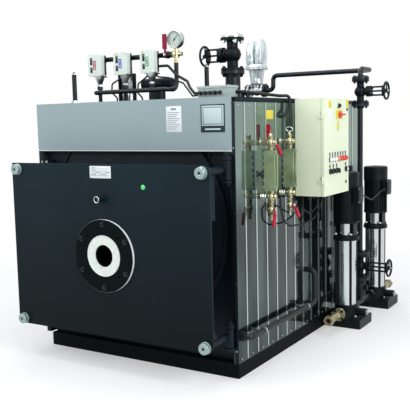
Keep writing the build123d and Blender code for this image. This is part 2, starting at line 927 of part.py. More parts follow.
# Bright end caps of the four arms
with BuildPart() as door_knobs:
    for knob_x in (-arm_x, arm_x):
        for knob_z in (arm_low_z, arm_high_z):
            with BuildSketch(facing(door_y - knob_length)):
                with Locations((knob_x, knob_z)):
                    Circle(knob_radius)
            extrude(amount=-knob_length)
    chamfer(door_knobs.edges().group_by(Axis.Y)[0], knob_chamfer)
    for knob_x in (-arm_x, arm_x):
        for knob_z in (arm_low_z, arm_high_z):
            with BuildSketch(facing(door_y - knob_length)):
                with Locations((knob_x, knob_z)):
                    Circle(knob_hole)
            extrude(amount=-knob_hole_depth, mode=Mode.SUBTRACT)
door_knobs.part.label = "door_knobs"
export_step(door_knobs.part, "parts/door_knobs.step")

# Control cabinet, open at its front, on two rails
barrel_x = cabinet_door_x + cabinet_door_thickness / 2
barrel_y = cabinet_y - cabinet_barrel_offset
barrel_zs = (cabinet_bottom + cabinet_barrel_inset, cabinet_top - cabinet_barrel_inset)
with BuildPart() as cabinet_box:
    with BuildSketch(across(cabinet_x)):
        with Locations((cabinet_mid_y, cabinet_mid_z)):
            Rectangle(cabinet_width, cabinet_height)
    extrude(amount=cabinet_depth)
    with BuildSketch(across(cabinet_x + cabinet_wall)):
        with Locations((cabinet_mid_y, cabinet_mid_z)):
            Rectangle(cabinet_width - 2 * cabinet_wall, cabinet_height - 2 * cabinet_wall)
    extrude(amount=cabinet_depth, mode=Mode.SUBTRACT)
    with BuildSketch(across(half_width)):
        with Locations(
            (cabinet_y + cabinet_rail_near, cabinet_mid_z),
            (cabinet_y + cabinet_width - cabinet_rail_far, cabinet_mid_z),
        ):
            Rectangle(cabinet_rail_width, cabinet_height - 2 * cabinet_rail_inset)
    extrude(amount=cabinet_stand_off)
    for barrel_z in barrel_zs:
        with BuildSketch(Plane.XY.offset(barrel_z - cabinet_barrel_length)):
            with Locations((barrel_x, barrel_y)):
                Circle(cabinet_barrel_radius)
            with Locations((barrel_x - strap_reach / 2, cabinet_y - strap_thickness / 2)):
                Rectangle(strap_reach, strap_thickness)
        extrude(amount=cabinet_barrel_length - seat)
        with BuildSketch(Plane.XY.offset(barrel_z - cabinet_barrel_length)):
            with Locations((barrel_x, barrel_y)):
                Circle(cabinet_pin_radius)
        extrude(amount=2 * cabinet_barrel_length)
cabinet_box.part.label = "cabinet_box"
export_step(cabinet_box.part, "parts/cabinet_box.step")

# Mounting plate inside the cabinet, on its back wall
plate_x = cabinet_x + cabinet_wall
with BuildPart() as mounting_plate:
    with BuildSketch(across(plate_x)):
        with Locations((cabinet_mid_y, cabinet_mid_z)):
            Rectangle(
                cabinet_width - 2 * mounting_plate_margin,
                cabinet_height - 2 * mounting_plate_margin,
            )
    extrude(amount=mounting_plate_thickness)
mounting_plate.part.label = "mounting_plate"
export_step(mounting_plate.part, "parts/mounting_plate.step")

# Cabinet door, a folded pan
with BuildPart() as cabinet_door:
    with BuildSketch(across(cabinet_door_x)):
        with Locations((cabinet_mid_y, cabinet_mid_z)):
            Rectangle(cabinet_width, cabinet_height)
    extrude(amount=cabinet_door_thickness)
    with BuildSketch(across(cabinet_door_x)):
        with Locations((cabinet_mid_y, cabinet_mid_z)):
            Rectangle(cabinet_width - 2 * cabinet_door_rim, cabinet_height - 2 * cabinet_door_rim)
    extrude(amount=cabinet_door_thickness - cabinet_door_rim, mode=Mode.SUBTRACT)
    for barrel_z in barrel_zs:
        with BuildSketch(Plane.XY.offset(barrel_z)):
            with Locations((barrel_x, barrel_y)):
                Circle(cabinet_barrel_radius)
            with Locations((barrel_x, cabinet_y - strap_thickness / 2)):
                Rectangle(2 * cabinet_barrel_radius, strap_thickness)
            with Locations((barrel_x, barrel_y)):
                Circle(cabinet_pin_radius + seat, mode=Mode.SUBTRACT)
        extrude(amount=cabinet_barrel_length)
cabinet_door.part.label = "cabinet_door"
export_step(cabinet_door.part, "parts/cabinet_door.step")

# Main switch on the cabinet door
switch_x = cabinet_front_x + seat
with BuildPart() as main_switch:
    with BuildSketch(across(switch_x)):
        with Locations((-switch_y, switch_z)):
            Circle(switch_collar_radius)
    extrude(amount=switch_collar_length)
    with BuildSketch(across(switch_x + switch_collar_length)):
        with Locations((-switch_y, switch_z)):
            SlotOverall(switch_grip_span, switch_grip_width)
    extrude(amount=switch_grip_length)
main_switch.part.label = "main_switch"
export_step(main_switch.part, "parts/main_switch.step")

# Pressure switches: a cover ahead of a slightly smaller base
switch_xs = [pressure_switch_first + pressure_switch_pitch * i for i in range(pressure_switch_count)]
switch_mid_z = pressure_switch_bottom + pressure_switch_height / 2
with BuildPart() as pressure_switches:
    with BuildSketch(facing(switch_front_y)):
        with Locations(*[(x, switch_mid_z) for x in switch_xs]):
            RectangleRounded(pressure_switch_width, pressure_switch_height, pressure_switch_corner)
    extrude(amount=-pressure_switch_cover)
    with BuildSketch(facing(switch_front_y + pressure_switch_cover)):
        with Locations(*[(x, switch_mid_z) for x in switch_xs]):
            Rectangle(
                pressure_switch_width - 2 * pressure_switch_base_inset,
                pressure_switch_height - 2 * pressure_switch_base_inset,
            )
    extrude(amount=-pressure_switch_base)
pressure_switches.part.label = "pressure_switches"
export_step(pressure_switches.part, "parts/pressure_switches.step")

# Pipework of the switches: manifold, its valve body, and a stem under each switch
stem_cone_bottom = pressure_switch_bottom + pressure_switch_base_inset - stem_cone_height
manifold_length = gauge_x - cock_radius - switch_xs[0]
with BuildPart() as switch_manifold:
    with BuildSketch(across(switch_xs[0])):
        with Locations((manifold_y, manifold_z)):
            Circle(manifold_radius)
    extrude(amount=manifold_length)
    with Locations((manifold_valve_x, manifold_y, manifold_z)):
        Sphere(manifold_valve_radius)
    with BuildSketch(facing(switch_back_y)):
        with Locations(*[(x, manifold_z) for x in switch_xs]):
            Circle(manifold_stub_radius)
    extrude(amount=-manifold_back)
    for stem_x in switch_xs:
        with BuildSketch(Plane.XY.offset(stem_cone_bottom)):
            with Locations((stem_x, switch_back_y - pressure_switch_base / 2)):
                Circle(stem_bottom_radius)
        extrude(amount=-(stem_cone_bottom - casing_top))
        with BuildSketch(Plane.XY.offset(stem_cone_bottom)):
            with Locations((stem_x, switch_back_y - pressure_switch_base / 2)):
                Circle(stem_bottom_radius)
        with BuildSketch(Plane.XY.offset(stem_cone_bottom + stem_cone_height)):
            with Locations((stem_x, switch_back_y - pressure_switch_base / 2)):
                Circle(pressure_switch_base / 2)
        loft()
switch_manifold.part.label = "switch_manifold"
export_step(switch_manifold.part, "parts/switch_manifold.step")

# Pressure gauge facing the front, with bezel, glass recess and stem
gauge_front_y = manifold_y - gauge_depth / 2
with BuildPart() as pressure_gauge:
    with BuildSketch(facing(gauge_front_y)):
        with Locations((gauge_x, gauge_z)):
            Circle(gauge_radius)
    extrude(amount=-gauge_depth)
    with BuildSketch(facing(gauge_front_y)):
        with Locations((gauge_x, gauge_z)):
            Circle(gauge_radius - gauge_bezel)
    extrude(amount=-gauge_glass_depth, mode=Mode.SUBTRACT)
    with BuildSketch(Plane.XY.offset(manifold_z + cock_radius)):
        with Locations((gauge_x, manifold_y)):
            Circle(gauge_stem_radius)
    extrude(amount=gauge_z - gauge_radius + gauge_bezel - manifold_z - cock_radius)
pressure_gauge.part.label = "pressure_gauge"
export_step(pressure_gauge.part, "parts/pressure_gauge.step")

# Brass gauge cock between the manifold, the gauge and the siphon pipe
cock_bottom = manifold_z - cock_radius - cock_nut_height
with BuildPart() as gauge_cock:
    with BuildSketch(Plane.XY.offset(cock_bottom)):
        with Locations((gauge_x, manifold_y)):
            RegularPolygon(cock_nut_radius, 6)
    extrude(amount=cock_nut_height)
    with BuildSketch(Plane.XY.offset(manifold_z - cock_radius)):
        with Locations((gauge_x, manifold_y)):
            Circle(cock_radius)
    extrude(amount=2 * cock_radius)
gauge_cock.part.label = "gauge_cock"
export_step(gauge_cock.part, "parts/gauge_cock.step")


def pipe_run(points, radius, bend):
    """A round pipe along straight runs joined by tangent bends."""
    with BuildPart() as run:
        with BuildLine():
            FilletPolyline(*points, radius=bend)
        with BuildSketch(Plane(origin=points[0], z_dir=Vector(*points[1]) - Vector(*points[0]))):
            Circle(radius)
        sweep()
    return run.part


# Siphon pipe from the first stem, past the others and up to the gauge cock, with its post
stem_y = switch_back_y - pressure_switch_base / 2
siphon_run = pipe_run(
    (
        (switch_xs[0], stem_y - stem_bottom_radius - seat, siphon_low_z),
        (switch_xs[0], -siphon_ahead, siphon_low_z),
        (gauge_x, -siphon_ahead, siphon_low_z),
        (gauge_x, manifold_y, siphon_low_z),
        (gauge_x, manifold_y, cock_bottom),
    ),
    siphon_radius,
    siphon_bend,
)
with BuildPart() as siphon_pipe:
    add(siphon_run)
    with BuildSketch(Plane.XY.offset(casing_top)):
        with Locations((siphon_post_x, -siphon_ahead)):
            Circle(siphon_post_radius)
    extrude(amount=siphon_low_z - casing_top)
siphon_pipe.part.label = "siphon_pipe"
export_step(siphon_pipe.part, "parts/siphon_pipe.step")

# Slotted channel behind the second switch, and the level vessel behind the third
with BuildPart() as switch_supports:
    with BuildSketch(Plane.XY.offset(casing_top)):
        with Locations((channel_x, -channel_y)):
            Rectangle(channel_width, channel_depth)
        with Locations((channel_x, -channel_y - channel_wall)):
            Rectangle(channel_width - 2 * channel_wall, channel_depth, mode=Mode.SUBTRACT)
    extrude(amount=channel_height)
    with BuildSketch(facing(-channel_y)):
        with Locations(*[(x, channel_slot_z) for x in channel_slot_xs]):
            SlotOverall(channel_slot_height, channel_slot_width, rotation=90)
    extrude(amount=-channel_depth, mode=Mode.SUBTRACT)
    with BuildSketch(across(vessel_left)):
        with Locations((-vessel_y, vessel_z)):
            Circle(vessel_radius)
    extrude(amount=vessel_length)
    vessel_rims = switch_supports.edges().filter_by(GeomType.CIRCLE).filter_by(
        lambda rim: rim.radius == vessel_radius
    )
    fillet(vessel_rims, vessel_dome)
    with BuildSketch(Plane.XY.offset(casing_top)):
        with Locations((vessel_foot_x, -vessel_y)):
            Rectangle(vessel_foot_width, vessel_foot_depth)
    extrude(amount=vessel_z - casing_top)
switch_supports.part.label = "switch_supports"
export_step(switch_supports.part, "parts/switch_supports.step")

# Level probes with their conical bases and bright tips
with BuildPart() as level_probes:
    for probe_x, probe_y, probe_height in probes:
        with BuildSketch(Plane.XY.offset(casing_top)):
            with Locations((probe_x, probe_y)):
                Circle(probe_base_radius)
        with BuildSketch(Plane.XY.offset(casing_top + probe_base_height)):
            with Locations((probe_x, probe_y)):
                Circle(probe_radius)
        loft()
        with BuildSketch(Plane.XY.offset(casing_top + probe_base_height)):
            with Locations((probe_x, probe_y)):
                Circle(probe_radius)
        extrude(amount=probe_height - probe_base_height)
        with BuildSketch(Plane.XY.offset(casing_top + probe_height)):
            with Locations((probe_x, probe_y)):
                Circle(probe_tip_radius)
        extrude(amount=probe_tip_height)
level_probes.part.label = "level_probes"
export_step(level_probes.part, "parts/level_probes.step")

# Junction box with an overhanging lid
with BuildPart() as junction_box:
    with BuildSketch(Plane.XY.offset(casing_top)):
        with Locations((junction_x, -junction_y)):
            Rectangle(junction_width, junction_depth)
    extrude(amount=junction_height)
    with BuildSketch(Plane.XY.offset(casing_top + junction_height)):
        with Locations((junction_x, -junction_y)):
            Rectangle(
                junction_width + 2 * junction_lid_overhang,
                junction_depth + 2 * junction_lid_overhang,
            )
    extrude(amount=junction_lid)
junction_box.part.label = "junction_box"
export_step(junction_box.part, "parts/junction_box.step")


def globe_valve(place, size, wheel_reach, side):
    """A flanged globe valve on a vertical pipe, with its bonnet and yoke along X."""
    x, y, z = place
    length, flange_radius, flange_thickness, neck_radius, body_radius, bore_radius = size
    yoke_start = body_radius + bonnet_length
    yoke_end = wheel_reach - wheel_hub_length / 2 - yoke_collar_length - lever_clear
    bar_circle = neck_radius + yoke_bar_radius / 2
    yoke_reach = bar_circle + yoke_bar_radius + yoke_margin
    along = across(x) if side > 0 else Plane(origin=(x, 0, 0), x_dir=(0, 1, 0), z_dir=(-1, 0, 0))
    with BuildPart() as valve:
        with BuildSketch(Plane.XY.offset(z - length / 2)):
            with Locations((x, y)):
                Circle(neck_radius)
        extrude(amount=length)
        for flange_z in (z - length / 2, z + length / 2 - flange_thickness):
            with BuildSketch(Plane.XY.offset(flange_z)):
                with Locations((x, y)):
                    Circle(flange_radius)
            extrude(amount=flange_thickness)
        with Locations((x, y, z)):
            Sphere(body_radius)
        with BuildSketch(along):
            with Locations((y, z * side)):
                Circle(neck_radius)
        extrude(amount=yoke_start)
        with BuildSketch(along.offset(yoke_start - bonnet_length / 2)):
            with Locations((y, z * side)):
                Circle(yoke_reach)
        extrude(amount=bonnet_length / 2)
        with BuildSketch(along.offset(yoke_start)):
            with Locations((y, z * side + bar_circle), (y, z * side - bar_circle)):
                Circle(yoke_bar_radius)
        extrude(amount=yoke_end - yoke_start)
        with BuildSketch(along.offset(yoke_end)):
            with Locations((y, z * side)):
                RectangleRounded(
                    2 * yoke_collar_radius,
                    2 * yoke_reach,
                    yoke_collar_radius - seat,
                )
        extrude(amount=yoke_collar_length)
        with BuildSketch(along.offset(yoke_start - overrun)):
            with Locations((y, z * side)):
                Circle(stem_radius + stem_play)
        extrude(amount=wheel_reach, mode=Mode.SUBTRACT)
        with BuildSketch(Plane.XY.offset(z - length / 2 - overrun)):
            with Locations((x, y)):
                Circle(bore_radius)
        extrude(amount=length / 2 - body_radius / 2 + overrun, mode=Mode.SUBTRACT)
        with BuildSketch(Plane.XY.offset(z + body_radius / 2)):
            with Locations((x, y)):
                Circle(bore_radius)
        extrude(amount=length / 2 + overrun, mode=Mode.SUBTRACT)
    return valve.part


def handwheel(place, radius, body_radius, wheel_reach, side):
    """A spoked handwheel on its stem, turning about X."""
    x, y, z = place
    along = across(x) if side > 0 else Plane(origin=(x, 0, 0), x_dir=(0, 1, 0), z_dir=(-1, 0, 0))
    stem_start = body_radius + bonnet_length - overrun / 2
    with BuildPart() as wheel:
        with BuildSketch(along.offset(stem_start)):
            with Locations((y, z * side)):
                Circle(stem_radius)
        extrude(amount=wheel_reach - stem_start)
        with BuildSketch(along.offset(wheel_reach - wheel_hub_length / 2)):
            with Locations((y, z * side)):
                Circle(wheel_hub_radius)
        extrude(amount=wheel_hub_length)
        with Locations(Location((x + side * wheel_reach, y, z), (0, 90, 0))):
            Torus(radius - wheel_rim_radius, wheel_rim_radius)
        for turn in range(wheel_spokes):
            angle = radians(90 + 360 * turn / wheel_spokes)
            spoke = Vector(0, cos(angle), sin(angle))
            spoke_plane = Plane(origin=(x + side * wheel_reach, y, z), z_dir=spoke)
            with BuildSketch(spoke_plane):
                Circle(wheel_spoke_radius)
            extrude(amount=radius - wheel_rim_radius)
    return wheel.part


# Steam nozzle, stop valve with its handwheel, and the bright cover on its outlet
steam_place = (steam_x, -steam_y, steam_valve_z)
steam_size = (
    steam_face_to_face,
    steam_flange_radius,
    steam_flange_thickness,
    steam_neck_radius,
    steam_body_radius,
    steam_bore_radius,
)
steam_bottom = steam_valve_z - steam_face_to_face / 2
steam_top = steam_valve_z + steam_face_to_face / 2
with BuildPart() as steam_nozzle:
    with BuildSketch(Plane.XY.offset(casing_top)):
        with Locations((steam_x, -steam_y)):
            Circle(steam_nozzle_radius)
    extrude(amount=steam_bottom - casing_top)
    with BuildSketch(Plane.XY.offset(steam_bottom - steam_flange_thickness)):
        with Locations((steam_x, -steam_y)):
            Circle(steam_flange_radius)
    extrude(amount=steam_flange_thickness)
steam_nozzle.part.label = "steam_nozzle"
export_step(steam_nozzle.part, "parts/steam_nozzle.step")

steam_valve = globe_valve(steam_place, steam_size, steam_wheel_reach, -1)
steam_valve.label = "steam_valve"
export_step(steam_valve, "parts/steam_valve.step")

steam_handwheel = handwheel(
    steam_place, steam_wheel_radius, steam_body_radius, steam_wheel_reach, -1
)
steam_handwheel.label = "steam_handwheel"
export_step(steam_handwheel, "parts/steam_handwheel.step")

with BuildPart() as outlet_cover:
    with BuildSketch(Plane.XY.offset(steam_top)):
        with Locations((steam_x, -steam_y)):
            Circle(cover_radius)
    extrude(amount=cover_thickness)
    with BuildSketch(Plane.XY.offset(steam_top + cover_thickness)):
        with Locations((steam_x, -steam_y)):
            Circle(cover_radius - cover_step)
    extrude(amount=cover_dome, taper=cover_taper)
outlet_cover.part.label = "outlet_cover"
export_step(outlet_cover.part, "parts/outlet_cover.step")

# Feed valve and pump valve on the riser, with their handwheels
feed_size = (
    feed_face_to_face,
    feed_flange_radius,
    feed_flange_thickness,
    feed_neck_radius,
    feed_body_radius,
    feed_bore_radius,
)
feed_place = (pump_x, riser_y, feed_valve_z)
pump_valve_place = (pump_x, riser_y, pump_valve_z)
with BuildPart() as feed_valves:
    add(globe_valve(feed_place, feed_size, feed_wheel_reach, 1))
    add(globe_valve(pump_valve_place, feed_size, pump_wheel_reach, 1))
feed_valves.part.label = "feed_valves"
export_step(feed_valves.part, "parts/feed_valves.step")

feed_handwheel = handwheel(feed_place, feed_wheel_radius, feed_body_radius, feed_wheel_reach, 1)
feed_handwheel.label = "feed_handwheel"
export_step(feed_handwheel, "parts/feed_handwheel.step")

pump_handwheel = handwheel(
    pump_valve_place, feed_wheel_radius, feed_body_radius, pump_wheel_reach, 1
)
pump_handwheel.label = "pump_handwheel"
export_step(pump_handwheel, "parts/pump_handwheel.step")

# Feed pipework: delivery header between the pumps, riser, and the run over the casing
feed_top = feed_valve_z + feed_face_to_face / 2
feed_bottom = feed_valve_z - feed_face_to_face / 2
pump_valve_top = pump_valve_z + feed_face_to_face / 2
pump_valve_bottom = pump_valve_z - feed_face_to_face / 2
port_near, port_far = pump_ys[0] + port_half_length, pump_ys[1] - port_half_length
control_inlet_x = control_x + control_face
control_outlet_x = control_x - control_face
with BuildPart() as feed_pipework:
    with BuildSketch(facing(port_near)):
        with Locations((pump_x, port_z)):
            Circle(feed_pipe_radius)
    extrude(amount=-(port_far - port_near))
    for flange_y_place in (port_near, port_far - port_flange_thickness):
        with BuildSketch(facing(flange_y_place)):
            with Locations((pump_x, port_z)):
                Circle(port_flange_radius - pump_plate_wall)
        extrude(amount=-port_flange_thickness)
    with BuildSketch(Plane.XY.offset(port_z)):
        with Locations((pump_x, riser_y)):
            Circle(feed_pipe_radius)
    extrude(amount=pump_valve_bottom - port_z)
    with BuildSketch(Plane.XY.offset(check_valve_z - check_valve_height / 2)):
        with Locations((pump_x, riser_y)):
            Circle(check_valve_radius)
    extrude(amount=check_valve_height)
    with BuildSketch(Plane.XY.offset(pump_valve_top)):
        with Locations((pump_x, riser_y)):
            Circle(feed_pipe_radius)
    extrude(amount=feed_bottom - pump_valve_top)
    for flange_low in (
        pump_valve_bottom - feed_flange_thickness,
        pump_valve_top,
        feed_bottom - feed_flange_thickness,
    ):
        with BuildSketch(Plane.XY.offset(flange_low)):
            with Locations((pump_x, riser_y)):
                Circle(feed_flange_radius)
        extrude(amount=feed_flange_thickness)
feed_pipework.part.label = "feed_pipework"
export_step(feed_pipework.part, "parts/feed_pipework.step")

feed_run = pipe_run(
    (
        (pump_x, riser_y, feed_top),
        (pump_x, riser_y, feed_run_z),
        (pump_x, feed_run_y, feed_run_z),
        (feed_drop_x, feed_run_y, feed_run_z),
        (feed_drop_x, feed_run_y, feed_inlet_z),
        (control_inlet_x, feed_run_y, feed_inlet_z),
    ),
    feed_pipe_radius,
    pipe_bend - feed_pipe_radius,
)
feed_return = pipe_run(
    (
        (control_outlet_x, feed_run_y, feed_inlet_z),
        (feed_return_x, feed_run_y, feed_inlet_z),
        (feed_return_x, feed_run_y, casing_top),
    ),
    feed_pipe_radius,
    pipe_bend - feed_pipe_radius,
)
with BuildPart() as feed_run_pipe:
    add(feed_run)
    add(feed_return)
    with BuildSketch(Plane.XY.offset(feed_top)):
        with Locations((pump_x, riser_y)):
            Circle(feed_flange_radius)
    extrude(amount=feed_flange_thickness)
    for flange_x in (control_inlet_x, control_outlet_x - control_flange_thickness):
        with BuildSketch(across(flange_x)):
            with Locations((feed_run_y, feed_inlet_z)):
                Circle(control_flange_radius)
        extrude(amount=control_flange_thickness)
feed_run_pipe.part.label = "feed_run_pipe"
export_step(feed_run_pipe.part, "parts/feed_run_pipe.step")

# Feed control valve body and the actuator on top of it
with BuildPart() as control_valve:
    with BuildSketch(across(control_outlet_x)):
        with Locations((feed_run_y, feed_inlet_z)):
            Circle(control_neck_radius)
    extrude(amount=2 * control_face)
    for flange_x in (control_outlet_x, control_inlet_x - control_flange_thickness):
        with BuildSketch(across(flange_x)):
            with Locations((feed_run_y, feed_inlet_z)):
                Circle(control_flange_radius)
        extrude(amount=control_flange_thickness)
    with Locations((control_x, feed_run_y, feed_inlet_z)):
        Sphere(control_body_radius)
    with BuildSketch(Plane.XY.offset(feed_inlet_z)):
        with Locations((control_x, feed_run_y)):
            Circle(control_neck_radius)
    extrude(amount=control_neck_top - feed_inlet_z)
control_valve.part.label = "control_valve"
export_step(control_valve.part, "parts/control_valve.step")

with BuildPart() as valve_actuator:
    with BuildSketch(Plane.XY.offset(control_neck_top)):
        with Locations((control_x, feed_run_y)):
            RectangleRounded(actuator_width, actuator_depth, actuator_corner)
    extrude(amount=actuator_base_height)
    actuator_lobe = (actuator_width - actuator_lobe_gap) / 2
    for lobe_side in (-1, 1):
        lobe_x = control_x + lobe_side * (actuator_lobe + actuator_lobe_gap) / 2
        with BuildSketch(Plane.XY.offset(control_neck_top + actuator_base_height)):
            with Locations((lobe_x, feed_run_y)):
                RectangleRounded(actuator_lobe, actuator_depth, actuator_corner)
        extrude(amount=actuator_height - actuator_base_height)
    fillet(valve_actuator.edges().group_by(Axis.Z)[-1], actuator_corner / 2)
valve_actuator.part.label = "valve_actuator"
export_step(valve_actuator.part, "parts/valve_actuator.step")

# Cables between the switches, the junction box, the cabinet and the motors, and the edge hose
with BuildPart() as cable_runs:
    for route, size, bend in (
        (switch_2_lead, lead_radius, lead_bend),
        (switch_3_lead, lead_radius, lead_bend),
        (box_conduit, conduit_radius, conduit_bend),
        (box_lead, lead_radius, lead_bend),
        (edge_hose, hose_radius, hose_bend),
        (panel_loop, lead_radius, loop_bend),
        (cabinet_loop, lead_radius, loop_bend),
        (motor_loop, lead_radius, loop_bend),
    ):
        add(pipe_run(route, size, bend))
cable_runs.part.label = "cable_runs"
export_step(cable_runs.part, "parts/cable_runs.step")

# Level gauge bodies with a recessed glass
level_mid_z = (level_body_bottom + level_body_top) / 2
level_height = level_body_top - level_body_bottom
with BuildPart() as level_gauges:
    with BuildSketch(across(gauge_axis_x - level_body_depth / 2)):
        with Locations(*[(y, level_mid_z) for y in gauge_places]):
            Rectangle(level_body_width, level_height)
    extrude(amount=level_body_depth)
    with BuildSketch(across(gauge_axis_x + level_body_depth / 2 - level_glass_depth)):
        with Locations(*[(y, level_mid_z) for y in gauge_places]):
            SlotOverall(level_height - 2 * level_glass_margin, level_glass_width, rotation=90)
    extrude(amount=overrun, mode=Mode.SUBTRACT)
level_gauges.part.label = "level_gauges"
export_step(level_gauges.part, "parts/level_gauges.step")

# Brass valves above and below each gauge, their nipples and the drain cocks
with BuildPart() as level_valves:
    for place_y in gauge_places:
        for valve_z in (level_valve_top_z, level_valve_bottom_z):
            with Locations((gauge_axis_x, place_y, valve_z)):
                Sphere(level_valve_radius)
        with BuildSketch(across(half_width)):
            with Locations((place_y, level_valve_top_z), (place_y, level_valve_bottom_z)):
                Circle(level_nipple_radius)
        extrude(amount=gauge_offset)
        with BuildSketch(Plane.XY.offset(level_body_top)):
            with Locations((gauge_axis_x, place_y)):
                Circle(level_nipple_radius)
        extrude(amount=level_valve_top_z - level_body_top)
        with BuildSketch(Plane.XY.offset(level_valve_top_z)):
            with Locations((gauge_axis_x, place_y)):
                RegularPolygon(level_plug_radius, 6)
        extrude(amount=level_plug_height)
        with BuildSketch(Plane.XY.offset(drain_z)):
            with Locations((gauge_axis_x, place_y)):
                Circle(level_nipple_radius)
        extrude(amount=level_body_bottom - drain_z)
        with Locations((gauge_axis_x, place_y, drain_z)):
            Sphere(drain_radius)
        with BuildSketch(Plane.XY.offset(drain_z - drain_tail_length)):
            with Locations((gauge_axis_x, place_y)):
                Circle(drain_tail_radius)
        extrude(amount=drain_tail_length)
    nipple_valve_x = half_width + nipple_valve_offset
    with BuildSketch(across(nipple_valve_x - nipple_valve_length / 2)):
        with Locations((gauge_places[0], level_valve_top_z)):
            Circle(nipple_valve_radius)
    extrude(amount=nipple_valve_length)
    with BuildSketch(facing(gauge_places[0])):
        with Locations((nipple_valve_x, level_valve_top_z)):
            Circle(nipple_stem_radius)
    extrude(amount=-nipple_stem_reach)
level_valves.part.label = "level_valves"
export_step(level_valves.part, "parts/level_valves.step")


def quarter_lever(plane, hub, body_radius, angle, size=1):
    """A sleeved quarter-turn lever in the given plane; its hub seats on the valve body."""
    turn = radians(angle)
    reach = size * (lever_neck + sleeve_length / 2)
    middle = size * lever_neck / 2
    with BuildPart() as lever:
        with BuildSketch(plane.offset(body_radius + seat)):
            with Locations(hub):
                Circle(lever_hub_radius)
        extrude(amount=lever_clear + lever_thickness)
        with BuildSketch(plane.offset(body_radius + seat + lever_clear)):
            with Locations((hub[0] + middle * cos(turn), hub[1] + middle * sin(turn))):
                Rectangle(size * lever_neck + lever_width, lever_width, rotation=angle)
        extrude(amount=lever_thickness)
        with BuildSketch(plane.offset(body_radius + seat + lever_clear)):
            with Locations((hub[0] + reach * cos(turn), hub[1] + reach * sin(turn))):
                RectangleRounded(size * sleeve_length, size * sleeve_width, sleeve_corner, rotation=angle)
        extrude(amount=sleeve_thickness)
    return lever.part


lever_gauge_cock = quarter_lever(
    facing(manifold_y), (manifold_valve_x, manifold_z), manifold_valve_radius, 90, gauge_lever_size
)
lever_gauge_cock.label = "lever_gauge_cock"
export_step(lever_gauge_cock, "parts/lever_gauge_cock.step")

nipple_plane = Plane(origin=(0, gauge_places[0], 0), x_dir=(-1, 0, 0), z_dir=(0, 1, 0))
lever_nipple = quarter_lever(
    nipple_plane, (-nipple_valve_x, level_valve_top_z), nipple_stem_reach, 90
)
lever_nipple.label = "lever_nipple"
export_step(lever_nipple, "parts/lever_nipple.step")

lever_top = quarter_lever(
    across(gauge_axis_x), (gauge_places[0], level_valve_top_z), level_valve_radius, -45
)
lever_top.label = "lever_top"
export_step(lever_top, "parts/lever_top.step")

lever_drain_near = quarter_lever(
    across(gauge_axis_x), (gauge_places[0], drain_z), drain_radius, -110
)
lever_drain_near.label = "lever_drain_near"
export_step(lever_drain_near, "parts/lever_drain_near.step")

lever_drain_far = quarter_lever(
    across(gauge_axis_x), (gauge_places[1], drain_z), drain_radius, -50
)
lever_drain_far.label = "lever_drain_far"
export_step(lever_drain_far, "parts/lever_drain_far.step")

# Blowdown pipe along the side panel
blowdown_x = half_width + blowdown_offset
blowdown_run = pipe_run(
    (
        (half_width, -blowdown_y, blowdown_z),
        (blowdown_x, -blowdown_y, blowdown_z),
        (blowdown_x, blowdown_far, blowdown_z),
        (blowdown_x, blowdown_far, blowdown_rise),
        (half_width, blowdown_far, blowdown_rise),
    ),
    blowdown_radius,
    pipe_bend - blowdown_radius,
)
with BuildPart() as blowdown_pipe:
    add(blowdown_run)
    with BuildSketch(across(half_width)):
        with Locations((-blowdown_y, blowdown_z)):
            Circle(blowdown_collar_radius)
    extrude(amount=blowdown_collar_length)
blowdown_pipe.part.label = "blowdown_pipe"
export_step(blowdown_pipe.part, "parts/blowdown_pipe.step")

# Pump plates: folded pans on the skid's right rail
with BuildPart() as pump_plates:
    for plate_front in pump_plate_fronts:
        plate_mid_y = plate_front + pump_plate_depth / 2
        with BuildSketch(Plane.XY):
            with Locations(((half_width + pump_plate_right) / 2, plate_mid_y)):
                Rectangle(pump_plate_right - half_width, pump_plate_depth)
        extrude(amount=pump_plate_height)
        with BuildSketch(Plane.XY):
            with Locations(((half_width + pump_plate_right) / 2, plate_mid_y)):
                Rectangle(
                    pump_plate_right - half_width - 2 * pump_plate_wall,
                    pump_plate_depth - 2 * pump_plate_wall,
                )
        extrude(amount=pump_plate_height - pump_plate_wall, mode=Mode.SUBTRACT)
pump_plates.part.label = "pump_plates"
export_step(pump_plates.part, "parts/pump_plates.step")

# Pump bases: foot, bowl, ports along Y and a capped side boss
with BuildPart() as pump_bases:
    for pump_y in pump_ys:
        with BuildSketch(Plane.XY.offset(pump_plate_height)):
            with Locations((pump_x, pump_y)):
                RectangleRounded(foot_width, foot_depth, foot_corner)
        extrude(amount=foot_thickness)
        with BuildSketch(Plane.XY.offset(pump_plate_height)):
            with Locations((pump_x, pump_y)):
                Circle(bowl_radius)
        extrude(amount=bowl_top - pump_plate_height)
        with BuildSketch(facing(pump_y - port_half_length)):
            with Locations((pump_x, port_z)):
                Circle(port_radius)
        extrude(amount=-2 * port_half_length)
        for port_end in (pump_y - port_half_length, pump_y + port_half_length - port_flange_thickness):
            with BuildSketch(facing(port_end)):
                with Locations((pump_x, port_z)):
                    Circle(port_flange_radius - pump_plate_wall)
            extrude(amount=-port_flange_thickness)
        with BuildSketch(across(pump_x)):
            with Locations((pump_y, port_z)):
                Circle(side_boss_radius)
        extrude(amount=side_boss_reach)
pump_bases.part.label = "pump_bases"
export_step(pump_bases.part, "parts/pump_bases.step")

# Pump sleeves with their tie rods and nuts
with BuildPart() as pump_sleeves:
    for pump_y in pump_ys:
        with BuildSketch(Plane.XY.offset(bowl_top)):
            with Locations((pump_x, pump_y)):
                Circle(sleeve_radius)
        extrude(amount=pump_head_z - bowl_top)
pump_sleeves.part.label = "pump_sleeves"
export_step(pump_sleeves.part, "parts/pump_sleeves.step")

